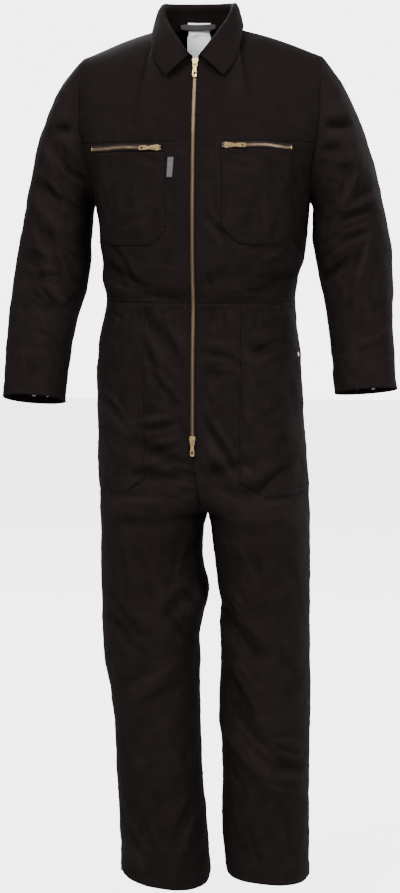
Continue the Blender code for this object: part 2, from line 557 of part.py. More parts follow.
def trouser_section(side, face, z, share):
    """Half a leg or hip section: share 0 at the middle or inseam, 1 at the side seam. face -1 front, 1 back."""
    outer_name, inner_name = side_columns(side)
    outer, inner = column(BODY, outer_name, z), column(BODY, inner_name, z)
    centre, half = 0.5 * (outer + inner), 0.5 * np.abs(outer - inner)
    depth = np.abs(column(BODY, "front" if face < 0 else "back", z) - SIDE_Y)
    reach = np.where(z < CROTCH_Z, 1.0, np.clip(side * (centre - middle_x(z)) / half, 0, 1))
    end = np.arccos(-(reach ** (FULLNESS / 2)))
    angle = end * (1 - share)
    x = centre + side * half * power(np.cos(angle), FULLNESS)
    y = SIDE_Y + face * depth * power(np.sin(angle), FULLNESS)
    hem = HEM[side]
    near_hem = ease((HEM_RISE_Z - z) / (HEM_RISE_Z - TROUSER_LEVELS[-1]))
    rise = hem.lift - hem.tilt * (x - centre) - hem.drop * np.clip((SIDE_Y - y) / depth, -1, 1)
    return np.stack([x, y, z + near_hem * rise], axis=-1)


def armhole(side, turn):
    """Point of the armhole: turn 0 at the underarm, 0.25 front, 0.5 top, 0.75 back."""
    angle = 2 * np.pi * np.asarray(turn, float)
    z = ARMHOLE_Z - ARMHOLE_HALF_HEIGHT * np.cos(angle)
    y = ARMHOLE_Y - ARMHOLE_HALF_DEPTH * power(np.sin(angle), FULLNESS)
    return np.stack([side * column(ARMHOLE, "x", z), y, z], axis=-1)


def armhole_turn(z):
    """Turn of the armhole's front branch at a height."""
    return np.arccos(np.clip((ARMHOLE_Z - z) / ARMHOLE_HALF_HEIGHT, -1, 1)) / (2 * np.pi)


def chest_row(side, face, z, share=ACROSS):
    """Row of the body at height z, share 0 at the middle and 1 at the side seam or the armhole's edge."""
    middle_y = column(BODY, "front" if face < 0 else "back", z)
    if z < ARMPIT_Z + 1e-6:
        edge_x, edge_y = column(BODY, side_columns(side)[0], z), SIDE_Y
    else:
        turn = armhole_turn(z)
        edge_x, edge_y, _ = armhole(side, turn if face < 0 else 1 - turn)
    rise = np.clip((edge_y - SIDE_Y) / (middle_y - SIDE_Y), 0, 1)
    width = abs(edge_x) / (1 - rise**FULLNESS) ** (1 / FULLNESS)
    end = np.arcsin(np.clip((abs(edge_x) / width) ** (FULLNESS / 2), 0, 1))
    angle = end * share
    x = side * width * power(np.sin(angle), FULLNESS)
    y = SIDE_Y + (middle_y - SIDE_Y) * power(np.cos(angle), FULLNESS)
    return np.stack([x, y, z + 0 * x], axis=-1)


def neckline(side, angle):
    """Point of the neck seam, the angle measured from the front middle round to the back middle."""
    x = side * NECK_HALF_WIDTH * np.sin(angle) + NECK_SHIFT * ease(angle / NECK_SIDE_ANGLE)
    y = NECK_MID_Y - NECK_HALF_DEPTH * np.cos(angle)
    to_side = ease(angle / NECK_SIDE_ANGLE) ** 1.25
    to_back = ease((angle - NECK_SIDE_ANGLE) / (np.pi - NECK_SIDE_ANGLE))
    z = NECK_FRONT_Z + (NECK_SIDE_Z - NECK_FRONT_Z) * to_side + (NECK_BACK_Z - NECK_SIDE_Z) * to_back
    return np.stack([x, y, z], axis=-1)


def shoulder_seam(side, share):
    """Point from the neck's side (0) to the armhole's top (1), slightly arched."""
    start, end = neckline(side, NECK_SIDE_ANGLE), armhole(side, SHOULDER_TURN)
    point = start + (end - start) * share[..., None]
    point[..., 2] += SHOULDER_ARCH * np.sin(np.pi * share)
    return point


def upper_rows(side, face):
    """Rows from above the yoke seam to the neckline and the shoulder seam, beside the upper armhole."""
    share = ACROSS
    bottom = chest_row(side, face, YOKE_Z)
    below = chest_row(side, face, YOKE_Z - 0.004)
    to_neck = np.clip(share / NECK_SHARE, 0, 1)
    angle = NECK_SIDE_ANGLE * to_neck
    if face > 0:
        angle = np.pi - (np.pi - NECK_SIDE_ANGLE) * to_neck
    along = np.clip((share - NECK_SHARE) / (1 - NECK_SHARE), 0, 1)
    top = np.where((to_neck < 1)[:, None], neckline(side, angle), shoulder_seam(side, along))
    slope = unit(bottom - below)
    middle, outer = TOP_SLOPE[face]
    top_slope = unit(np.array(middle) + (np.array(outer) - np.array(middle)) * ease(to_neck)[:, None])
    length = np.linalg.norm(top - bottom, axis=-1, keepdims=True)
    first = armhole_turn(YOKE_Z) if face < 0 else 1 - armhole_turn(YOKE_Z)
    rows = []
    for step in range(1, UPPER_STEPS + 1):
        t = step / UPPER_STEPS
        row = hermite(bottom, slope * length, top, top_slope * length, t)
        edge = armhole(side, first + (SHOULDER_TURN - first) * t)
        row += (edge - row[-1]) * (share**5)[:, None]
        rows.append(row)
    return rows


# ---------------------------------------------------------------- panels of the body
def chest_panels():
    """Fronts, yokes and the two halves of the back, by side, with their rows from the top down."""
    lower = CHEST_LEVELS + ARMHOLE_LEVELS
    fronts, yokes, backs = {}, {}, {}
    for side in (-1, 1):
        front = np.array([chest_row(side, -1, z) for z in lower])
        fronts[side] = panel(fold_body(front, side)[::-1], -side)
        yoke = np.array([chest_row(side, -1, YOKE_Z)] + upper_rows(side, -1))
        fade = 1 - np.linspace(0, 1, len(yoke))[:, None]
        yokes[side] = panel(fold_body(yoke, side, fade)[::-1], -side)
        back = np.array([chest_row(side, 1, z) for z in lower] + upper_rows(side, 1))
        fade = np.concatenate([np.ones(len(lower)), np.linspace(0.8, 0, UPPER_STEPS)])[:, None]
        backs[side] = fold_body(back, side, fade)[::-1]
    joined = np.concatenate([backs[-1][:, :0:-1], backs[1]], axis=1)
    return fronts, yokes, panel(joined, 1)


def join_chest(fronts, yokes, back):
    """The same outward directions on both sides of the shoulder, yoke and side seams."""
    on_shoulder = np.flatnonzero(ACROSS > NECK_SHARE - 1e-9)
    middle = len(ACROSS) - 1
    for side in (-1, 1):
        share_outward(yokes[side], (0, on_shoulder), back, (0, middle + side * on_shoulder))
        share_outward(fronts[side], 0, yokes[side], -1)
        edge = -1 if side > 0 else 0
        count = len(fronts[side].points)
        share_outward(fronts[side], (slice(None), -1), back, (slice(-count, None), edge))


def build_chest(fronts, yokes, back, look):
    zip_gap = 2 * (CHAIN_HALF + SEAM_GAP) / SEAM_GAP
    for side, label in SIDES:
        cloth(f"front_{label}", fronts[side], look, gaps=(1, 1, zip_gap, 1))
        cloth(f"yoke_{label}", yokes[side], look, gaps=(1, 1, zip_gap, 1))
    cloth("back", back, look)


def trouser_panels():
    """Fronts and backs of the trousers, by side and face."""
    made = {}
    z = np.array(TROUSER_LEVELS)
    for side in (-1, 1):
        for face in (-1, 1):
            rows = fold_body(np.array([trouser_section(side, face, level, TROUSER_ACROSS) for level in z]), side)
            limit = np.broadcast_to(middle_x(z)[:, None] + side * SEAM_GAP / 2, rows.shape[:2])
            past = (z[:, None] > CROTCH_Z - LEVEL_SLACK) & (side * (rows[..., 0] - limit) < 0)
            rows[..., 0] = np.where(past, limit, rows[..., 0])
            made[side, face] = panel(rows, side * face)
    above = np.flatnonzero(z > CROTCH_Z - LEVEL_SLACK)
    for side in (-1, 1):
        share_outward(made[side, -1], (slice(None), -1), made[side, 1], (slice(None), -1))
        below = np.flatnonzero(z < CROTCH_Z + LEVEL_SLACK)
        share_outward(made[side, -1], (below, 0), made[side, 1], (below, 0))
    for face in (-1, 1):
        share_outward(made[-1, face], (above, 0), made[1, face], (above, 0))
    return made


def build_trousers(trousers, look):
    levels = np.array(TROUSER_LEVELS)
    zip_gap = 2 * (CHAIN_HALF + SEAM_GAP) / SEAM_GAP - 1
    inseam_gap = np.where(levels > CROTCH_Z + LEVEL_SLACK, 0, 1)
    fly_gap = np.where(levels > ZIP_END_Z - LEVEL_SLACK, zip_gap, inseam_gap)
    for side, label in SIDES:
        cloth(f"trouser_front_{label}", trousers[side, -1], look, gaps=(1, 1, fly_gap, 1))
        cloth(f"trouser_back_{label}", trousers[side, 1], look, gaps=(1, 1, inseam_gap, 1))


# ---------------------------------------------------------------- sleeves
def armhole_turns():
    """Turns of the armhole at which the panels' rows end, once round from the underarm."""
    lower = [float(armhole_turn(z)) for z in [ARMPIT_Z] + ARMHOLE_LEVELS]
    front = np.linspace(lower[-1], SHOULDER_TURN, UPPER_STEPS + 1)
    back = np.linspace(SHOULDER_TURN, 1 - lower[-1], UPPER_STEPS + 1)
    return np.concatenate([lower[:-1], front[:-1], back[:-1], 1 - np.array(lower[:0:-1])])


def sleeve_ring(side, z, turns):
    outer_name, inner_name = side_columns(side)
    outer, inner = column(SLEEVE, outer_name, z), column(SLEEVE, inner_name, z)
    centre, half = 0.5 * (outer + inner), 0.5 * abs(outer - inner)
    depth = column(SLEEVE, "half_depth", z)
    angle = 2 * np.pi * turns
    x = centre - side * half * power(np.cos(angle), SLEEVE_FULLNESS)
    y = column(SLEEVE, "y", z) - depth * power(np.sin(angle), SLEEVE_FULLNESS)
    lean = ease((SLEEVE[0].z - z) / (SLEEVE[0].z - SLEEVE[-1].z))
    cuff = CUFF[side]
    rise = cuff.tilt * (x - centre) - cuff.lean * (y - column(SLEEVE, "y", z))
    return np.stack([x, y, z + lean * rise], axis=-1)


def sleeve_panel(side, turns):
    """Rings from the armhole, bent down over the shoulder into the arm, to the cuff."""
    levels = SLEEVE_LEVELS + [CUFF[side].z]
    start = armhole(side, turns)
    end = sleeve_ring(side, levels[0], turns)
    below = sleeve_ring(side, levels[0] - 0.01, turns)
    length = np.linalg.norm(end - start, axis=-1, keepdims=True)
    angle = 2 * np.pi * turns
    out, down = CAP_SLOPE[side]
    low = 0.5 + 0.5 * np.cos(angle)
    sideways = side * (out + (UNDERARM_SLOPE[0] - out) * low)
    leaving = np.stack([sideways, -CAP_SPREAD * np.sin(angle), -down + (down - UNDERARM_SLOPE[1]) * low], axis=-1)
    arriving = unit(below - end)
    rings = [
        hermite(start, unit(leaving) * length, end, arriving * length, step / CAP_STEPS)
        for step in range(CAP_STEPS)
    ]
    rings += [sleeve_ring(side, z, turns) for z in levels]
    grid = np.array(rings)
    spine = grid.mean(axis=1, keepdims=True)
    outward = unit((grid - spine) * np.array([1, 1, 0.3]))
    fade = ease(np.linalg.norm(spine - spine[0], axis=-1) / CAP_FADE)
    grid = folded(grid, outward, *SLEEVE_FOLDS[side], strength=fade)
    grid[0, :, 0] += 1.5 * side * SEAM_GAP
    return panel(grid, -side, closed=True)


def build_sleeves(look):
    for side, label in SIDES:
        cloth(f"sleeve_{label}", sleeve_panel(side, armhole_turns()), look, closed=True)


# ---------------------------------------------------------------- collar
def collar_angles():
    """Angles of the columns, at the neckline's own corners: the front ones, then the back ones."""
    steps = np.linspace(0, 1, NECK_STEPS + 1)
    front = NECK_SIDE_ANGLE * steps
    back = np.pi - (np.pi - NECK_SIDE_ANGLE) * steps[::-1]
    return np.concatenate([front, back[1:]])


def collar_column(side, angle):
    """Points from the foot of the stand, up, over the roll line and down the fall to its edge."""
    degrees = np.degrees(angle)
    shift = NECK_SHIFT * ease(angle / NECK_SIDE_ANGLE)
    foot = neckline(side, angle) + np.array([0, 0, COLLAR_LIFT])
    foot[0] = side * max(side * foot[0], COLLAR_FRONT_X) if degrees < 1 else foot[0]
    roll, edge = (
        np.array([side * column(COLLAR, f"{part}_x", degrees) + shift, column(COLLAR, f"{part}_y", degrees),
                  column(COLLAR, f"{part}_z", degrees)])
        for part in ("roll", "edge")
    )  # fmt: skip
    out = np.array([side * np.sin(angle), -np.cos(angle), 0.0])
    up = unit(roll - foot)
    points = [foot, foot + 0.55 * (roll - foot) - out * STAND_HOLLOW]
    points += [roll + ROLL_RADIUS * (out * a + up * b) for a, b in ROLL]
    last = points[-1]
    points += [last + (edge - last) * t + out * FALL_BULGE * np.sin(np.pi * t) for t in (0.34, 0.67, 1.0)]
    return np.array(points)


def build_collar(yokes, back, look):
    angles = collar_angles()
    right = [collar_column(-1, angle) for angle in angles]
    left = [collar_column(1, angle) for angle in angles[::-1]]
    grid = np.array(right + left[1:])
    fall = slice(len(ROLL) + 1, None)
    grid[:, fall] = rest_on(grid[:, fall], [*yokes.values(), back], COLLAR_REST + COLLAR_WALL / 2)
    slab("collar", grid, COLLAR_WALL, look)
    return grid


# ---------------------------------------------------------------- pockets, tag and labels
def build_pockets(fronts, trousers, look):
    for side, label in SIDES:
        cut = CHEST_POCKET[side]
        inner, outer, corner = cut.inner, cut.outer, cut.inner_corner
        planes = [
            beyond_x(inner, side, -1), beyond_x(outer, side, 1), beyond_z(cut.top, 1), beyond_z(cut.bottom, -1),
            slanted(side, inner + corner, cut.bottom, inner, cut.bottom + corner),
            slanted(side, outer, cut.bottom + cut.outer_corner, outer - cut.outer_corner, cut.bottom),
        ]  # fmt: skip
        laid_on(f"chest_pocket_{label}", fronts[side], planes, LAY_GAP, LAY_GAP + POCKET_WALL, look)
        cut, mouth = HIP_POCKET[side], HIP_MOUTH[side]
        inner, corner = cut.inner, cut.inner_corner
        planes = [
            beyond_x(inner, side, -1), beyond_z(cut.top, 1), beyond_z(cut.bottom, -1),
            slanted(side, inner + corner, cut.bottom, inner, cut.bottom + corner),
            slanted(side, mouth.top_x, cut.top, mouth.bottom_x, mouth.bottom_z),
            ((0, HIP_POCKET_DEPTH, 0), (0, 1, 0)),
        ]  # fmt: skip
        laid_on(f"hip_pocket_{label}", trousers[side, -1], planes, LAY_GAP, LAY_GAP + POCKET_WALL, look)


def build_tag(front, look):
    """Short tape sewn under the inner edge of the right chest pocket."""
    planes = [beyond_x(TAG_INNER_X, -1, -1), beyond_x(TAG_OUTER_X, -1, 1), beyond_z(TAG_TOP_Z, 1),
              beyond_z(TAG_BOTTOM_Z, -1)]  # fmt: skip
    laid_on("chest_tag", front, planes, LAY_GAP, LAY_GAP + TRIM_WALL, look)


def build_neck_label(collar, label_look, loop_look):
    """Bare label hanging from the stand inside the back of the neck, and the hanging loop across its top."""
    stand = panel(collar[:, :3], -1)
    inside = Panel(stand.points + COLLAR_WALL / 2 * stand.outward, stand.outward, False)

    def below_neck_seam(x, z):
        x, z = np.meshgrid(x, z)
        share = np.clip((x - NECK_SHIFT) / NECK_HALF_WIDTH, -1, 1)
        return np.stack([x, NECK_MID_Y + NECK_HALF_DEPTH * np.sqrt(1 - share**2), z], axis=-1)

    x = LABEL_MIDDLE_X + np.linspace(-0.5, 0.5, 7) * LABEL_WIDTH
    label = below_neck_seam(x, np.linspace(LABEL_TOP_Z, LABEL_BOTTOM_Z, 6))
    label = rest_on(label, [inside], LABEL_REST + TRIM_WALL / 2)
    label[..., 1] = np.minimum(label[..., 1], label[:2, :, 1].min(axis=0))
    slab("neck_label", label, TRIM_WALL, label_look)
    x = LABEL_MIDDLE_X + np.linspace(-0.5, 0.5, 11) * LOOP_WIDTH
    arch = LOOP_BULGE * np.sin(np.pi * np.linspace(0, 1, len(x)))
    loop = below_neck_seam(x, np.array([LOOP_TOP_Z, LOOP_BOTTOM_Z]))
    front = panel(label[:2], -1)
    loop = rest_on(loop, [inside], LABEL_REST + TRIM_WALL / 2)
    loop[..., 1] -= arch
    slab("hanger_loop", rest_on(loop, [front], LABEL_REST + TRIM_WALL), TRIM_WALL, loop_look)


# ---------------------------------------------------------------- zips
def front_point(sheets, x, z):
    """Point of some panels straight in front of x and z, and the outward direction there."""
    points = np.concatenate([dense(sheet.points, 8).reshape(-1, 3) for sheet in sheets])
    outward = np.concatenate([unit(dense(sheet.outward, 8)).reshape(-1, 3) for sheet in sheets])
    away = np.hypot(points[:, 0] - x, points[:, 2] - z)
    near = np.argsort(away)[:4]
    weight = 1 / (away[near] + 1e-5)
    weight /= weight.sum()
    depth = weight @ points[near, 1]
    return np.array([x, depth, z]), unit(weight @ outward[near])


def across_rows(sheet, side, reach):
    """Points of each row at these distances from the middle, and the row's own middle."""
    rows = []
    for row in sheet.points:
        along = side * row[:, 0]
        rows.append([[side * x] + [np.interp(x, along, row[:, axis]) for axis in (1, 2)] for x in reach])
    return np.array(rows)


def build_main_zip(fronts, yokes, trousers, look):
    """Tapes behind the fronts' edges, and the chain between them that stands a little proud."""
    halves = []
    for side in (-1, 1):
        parts = [across_rows(sheet, side, (CHAIN_HALF, TAPE_HALF)) for sheet in
                 (yokes[side], fronts[side], trousers[side, -1])]  # fmt: skip
        rows = np.concatenate([parts[0], parts[1][1:], parts[2][1:]])
        rows[0] += ZIP_START * (rows[1] - rows[0])
        halves.append(rows[rows[:, 0, 2] > ZIP_END_Z - LEVEL_SLACK])
    right, left = halves
    grid = np.stack([right[:, 1], right[:, 0], left[:, 0], left[:, 1]], axis=1)
    grid[-1, :, 2] += SEAM_GAP
    out = -grid_normals(grid)
    tape_top = -WALL - TAPE_GAP
    tape_low = tape_top - TAPE_LAYER
    profile = [(0, tape_low), (3, tape_low), (3, tape_top), (2, tape_top), (2, CHAIN_FRONT), (1, CHAIN_FRONT),
               (1, tape_top), (0, tape_top)]  # fmt: skip
    builder = bmesh.new()
    rings = [[builder.verts.new(grid[i, j] + out[i, j] * height) for j, height in profile] for i in range(len(grid))]
    for first, second in zip(rings[:-1], rings[1:]):
        for j in range(len(profile)):
            k = (j + 1) % len(profile)
            builder.faces.new((first[j], first[k], second[k], second[j]))
    for ring in (rings[0], rings[-1]):
        builder.faces.new([ring[j] for j in (0, 1, 2, 3, 6, 7)])
        builder.faces.new([ring[j] for j in (3, 4, 5, 6)])
    bmesh.ops.recalc_face_normals(builder, faces=builder.faces)
    finish_mesh("main_zip", builder, look)


def unite(first, second):
    garment.objects.unlink(second)
    helpers.objects.link(second)
    second.hide_render = True
    second.display_type = "WIRE"
    second.parent = first
    join = first.modifiers.new("Join", "BOOLEAN")
    join.operation = "UNION"
    join.solver = "EXACT"
    join.object = second


def build_chest_zips(fronts, look):
    for side, label in SIDES:
        run = CHEST_ZIP[side]
        planes = [beyond_x(run.inner, side, -1), beyond_x(run.outer, side, 1),
                  beyond_z(run.z + CHEST_CHAIN_HALF, 1), beyond_z(run.z - CHEST_CHAIN_HALF, -1)]  # fmt: skip
        high = LAY_GAP + CHEST_CHAIN_LAYER
        laid_on(f"chest_zip_{label}", fronts[side], planes, LAY_GAP, high, look)


def slider_mesh(name, scale, look):
    """Plate, wide at its head, with a bridge arched along it. The pull's axis is local X through the origin."""
    foot = -AXIS_HEIGHT * scale
    builder = bmesh.new()
    face = builder.faces.new([builder.verts.new((x * scale, y * scale, foot)) for x, y in PLATE])
    lift = bmesh.ops.extrude_face_region(builder, geom=[face])
    top = [item for item in lift["geom"] if isinstance(item, bmesh.types.BMVert)]
    bmesh.ops.translate(builder, verts=top, vec=(0, 0, PLATE_THICKNESS * scale))
    bmesh.ops.recalc_face_normals(builder, faces=builder.faces)
    plate = finish_mesh(name, builder, look, angle=30)

    half, crown, corner = BRIDGE_HALF_LENGTH, BRIDGE_TOP - AXIS_HEIGHT, BRIDGE_CORNER
    thick, root = BRIDGE_THICKNESS, -AXIS_HEIGHT + PLATE_THICKNESS * 0.5
    cut = corner + 0.3 * thick
    arch = [(half, root), (half, crown - corner), (half - corner, crown)]
    hollow = [(half - thick, root), (half - thick, crown - cut), (half - cut, crown - thick)]
    arch += [(-y, z) for y, z in arch[::-1]]
    hollow += [(-y, z) for y, z in hollow[::-1]]
    width = BRIDGE_WIDTH * scale / 2
    builder = bmesh.new()
    rings = [
        [builder.verts.new((x, y * scale, z * scale)) for y, z in line]
        for x in (-width, width) for line in (arch, hollow)
    ]  # fmt: skip
    near_arch, near_hollow, far_arch, far_hollow = rings
    for first, second in ((near_arch, near_hollow), (far_hollow, far_arch), (far_arch, near_arch),
                          (near_hollow, far_hollow)):  # fmt: skip
        for i in range(len(arch) - 1):
            builder.faces.new((first[i], first[i + 1], second[i + 1], second[i]))
    for i in (0, -1):
        builder.faces.new((near_arch[i], near_hollow[i], far_hollow[i], far_arch[i]))
    bmesh.ops.recalc_face_normals(builder, faces=builder.faces)
    unite(plate, finish_mesh(f"{name}_bridge", builder, look, angle=30))
    return plate


def tab_mesh(name, length, scale, look):
    """Flat pull: a crossbar on the axis, a window behind it for the bridge, a plate and a round hole."""
    curve = bpy.data.curves.new(name, "CURVE")
    curve.dimensions = "2D"
    curve.fill_mode = "BOTH"
    curve.extrude = TAB_THICKNESS * scale / 2
    bar, half, neck, corner = TAB_BAR, TAB_HALF_WIDTH, TAB_NECK_HALF, TAB_CORNER
    side = [(neck, bar), (neck, -TAB_NECK_END), (half, -TAB_NECK_END - 0.006), (half, -length + corner),
            (half - corner, -length)]  # fmt: skip
    outline = side + [(-x, y) for x, y in side[::-1]]
    cut, end = TAB_WINDOW_HALF, TAB_WINDOW_END
    side = [(cut, -bar), (cut, -end + 0.001), (cut - 0.001, -end)]
    window = side + [(-x, y) for x, y in side[::-1]]
    turns = np.arange(HOLE_POINTS) * 2 * np.pi / HOLE_POINTS
    hole_y = -length + TAB_HOLE_FROM_END
    hole = [(TAB_HOLE_RADIUS * np.cos(a), hole_y + TAB_HOLE_RADIUS * np.sin(a)) for a in turns]
    for loop in (outline, window, hole):
        spline = curve.splines.new("POLY")
        spline.points.add(len(loop) - 1)
        for point, (x, y) in zip(spline.points, loop):
            point.co = (x * scale, y * scale, 0, 1)
        spline.use_cyclic_u = True
    drawn = bpy.data.objects.new(f"{name}_drawn", curve)
    garment.objects.link(drawn)
    graph = bpy.context.evaluated_depsgraph_get()
    mesh = bpy.data.meshes.new_from_object(drawn.evaluated_get(graph))
    bpy.data.objects.remove(drawn)
    builder = bmesh.new()
    builder.from_mesh(mesh)
    bmesh.ops.remove_doubles(builder, verts=builder.verts, dist=1e-6)
    bmesh.ops.recalc_face_normals(builder, faces=builder.faces)
    bpy.data.meshes.remove(mesh)
    return finish_mesh(name, builder, look, angle=30)


def frame_at(point, outward, tail):
    """Matrix with local Z outwards, local -Y towards the pull's tail, local X along its axis."""
    normal = Vector(outward).normalized()
    along = -Vector(tail)
    along = (along - normal * along.dot(normal)).normalized()
    turned = Matrix((along.cross(normal), along, normal)).transposed().to_4x4()
    return Matrix.Translation(Vector(point)) @ turned


def put_slider(name, sheets, head, middle, tail, chain_top, kind, look):
    """Slider with its pull, on the surface of the panels between two points seen from the front."""
    scale = CHEST_SCALE if kind == "chest" else 1.0
    (start, _), (centre, _), (end, _) = (front_point(sheets, x, z) for x, z in (head, middle, tail))
    along = unit(end - start)
    across = np.array([1.0, 0, 0]) if kind == "main" else np.array([0, 0, 1.0])
    outward = unit(np.cross(across, along))
    outward *= -np.sign(outward[1])
    sag = max(0.0, float(np.dot((start + end) / 2 - centre, -outward)))
    height = chain_top + SLIDER_LIFT + sag + AXIS_HEIGHT * scale
    matrix = frame_at(centre + outward * height, outward, along)
    slider_mesh(f"slider_{name}", scale, look).matrix_world = matrix
    tab_mesh(f"pull_{name}", TAB_LENGTH[kind], scale, look).matrix_world = matrix


def build_sliders(fronts, yokes, trousers, look):
    """Two sliders on the main zip and one on each chest zip, each with its pull."""
    reach = SLIDER_REACH
    for name, z, sheets in (("top", TOP_SLIDER_Z, list(yokes.values())),
                            ("bottom", BOTTOM_SLIDER_Z, [trousers[-1, -1], trousers[1, -1]])):  # fmt: skip
        put_slider(name, sheets, (0, z + reach), (0, z), (0, z - reach), CHAIN_FRONT, "main", look)
    for side, label in SIDES:
        run = CHEST_ZIP[side]
        ends = [(side * (run.slider + step), run.z) for step in (-reach, 0, reach)]
        top = LAY_GAP + CHEST_CHAIN_LAYER
        put_slider(f"chest_{label}", [fronts[side]], *ends, top, "chest", look)


# ---------------------------------------------------------------- materials
def material(name, colour, roughness, metallic=0.0):
    made = bpy.data.materials.new(name)
    made.use_nodes = True
    surface = made.node_tree.nodes["Principled BSDF"]
    surface.inputs["Base Color"].default_value = (*colour, 1)
    surface.inputs["Roughness"].default_value = roughness
    surface.inputs["Metallic"].default_value = metallic
    made.diffuse_color = (*colour, 1)
    return made


# ---------------------------------------------------------------- the garment
for leftover in list(bpy.data.objects):
    bpy.data.objects.remove(leftover, do_unlink=True)
garment = bpy.data.collections.new("boiler_suit")
helpers = bpy.data.collections.new("helpers")
bpy.context.scene.collection.children.link(garment)
bpy.context.scene.collection.children.link(helpers)

twill = material("black_twill", (0.012, 0.010, 0.010), 0.85)
brass = material("brass", (0.62, 0.45, 0.24), 0.35, metallic=1.0)
grey_tape = material("grey_tape", (0.24, 0.20, 0.22), 0.75)
white_tape = material("white_label", (0.80, 0.78, 0.76), 0.70)

front_panels, yoke_panels, back_panel = chest_panels()
join_chest(front_panels, yoke_panels, back_panel)
trouser_parts = trouser_panels()
build_chest(front_panels, yoke_panels, back_panel, twill)
build_trousers(trouser_parts, twill)
build_sleeves(twill)
collar_points = build_collar(yoke_panels, back_panel, twill)
build_pockets(front_panels, trouser_parts, twill)
build_main_zip(front_panels, yoke_panels, trouser_parts, brass)
build_chest_zips(front_panels, brass)
build_sliders(front_panels, yoke_panels, trouser_parts, brass)
build_tag(front_panels[-1], grey_tape)
build_neck_label(collar_points, white_tape, grey_tape)
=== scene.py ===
import json
import math

import bmesh
import bpy
import numpy as np
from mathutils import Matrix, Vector

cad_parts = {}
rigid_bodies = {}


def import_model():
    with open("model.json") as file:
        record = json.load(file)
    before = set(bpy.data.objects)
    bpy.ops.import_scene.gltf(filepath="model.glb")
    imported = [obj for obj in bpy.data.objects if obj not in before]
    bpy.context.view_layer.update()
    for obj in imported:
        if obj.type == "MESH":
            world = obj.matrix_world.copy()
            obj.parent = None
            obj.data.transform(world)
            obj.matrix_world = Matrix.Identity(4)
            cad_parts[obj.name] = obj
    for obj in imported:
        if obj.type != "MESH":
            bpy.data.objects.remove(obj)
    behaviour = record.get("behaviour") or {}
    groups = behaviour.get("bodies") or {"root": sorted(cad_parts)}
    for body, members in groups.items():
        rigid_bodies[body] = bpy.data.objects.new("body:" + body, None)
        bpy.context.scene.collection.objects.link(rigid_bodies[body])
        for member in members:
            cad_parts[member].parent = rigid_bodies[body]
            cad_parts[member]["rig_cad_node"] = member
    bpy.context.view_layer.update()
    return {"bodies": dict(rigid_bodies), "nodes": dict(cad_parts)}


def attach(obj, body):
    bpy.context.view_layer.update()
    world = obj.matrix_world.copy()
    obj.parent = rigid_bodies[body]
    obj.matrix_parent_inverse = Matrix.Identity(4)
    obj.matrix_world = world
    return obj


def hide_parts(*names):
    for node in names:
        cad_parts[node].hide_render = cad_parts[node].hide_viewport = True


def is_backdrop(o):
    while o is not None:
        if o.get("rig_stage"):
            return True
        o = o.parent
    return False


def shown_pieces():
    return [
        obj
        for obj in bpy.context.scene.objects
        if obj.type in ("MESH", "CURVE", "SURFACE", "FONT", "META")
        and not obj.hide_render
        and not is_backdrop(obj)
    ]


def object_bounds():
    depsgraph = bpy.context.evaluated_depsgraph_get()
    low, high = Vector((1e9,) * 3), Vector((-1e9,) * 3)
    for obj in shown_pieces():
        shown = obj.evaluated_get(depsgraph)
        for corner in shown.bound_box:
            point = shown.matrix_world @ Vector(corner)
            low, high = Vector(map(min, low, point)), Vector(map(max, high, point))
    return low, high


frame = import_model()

scene = bpy.context.scene

print("frame:", len(frame["nodes"]), "solids on", len(frame["bodies"]), "bodies")

# sizes in metres; -Y is the front and +X the wearer's left
cut = {
    "wall": 0.0016, "sideY": 0.006, "yokeZ": -0.2065, "armpitZ": -0.311, "waistZ": -0.490, "crotchX": 0.0103,
    "crotchZ": -0.8735, "crotchDriftZ": -0.768, "zipEndZ": -0.765, "hemSlantZ": -1.30, "hemZ": -1.563,
    "fullness": 2.35, "sleeveFullness": 2.15, "zipHalf": 0.0036,
}


# tables of millimetres turned into metres
def inMetres(table):
    if isinstance(table, dict):
        return {key: inMetres(part) for key, part in table.items()}
    return [inMetres(part) for part in table] if isinstance(table, (list, tuple)) else table / 1000


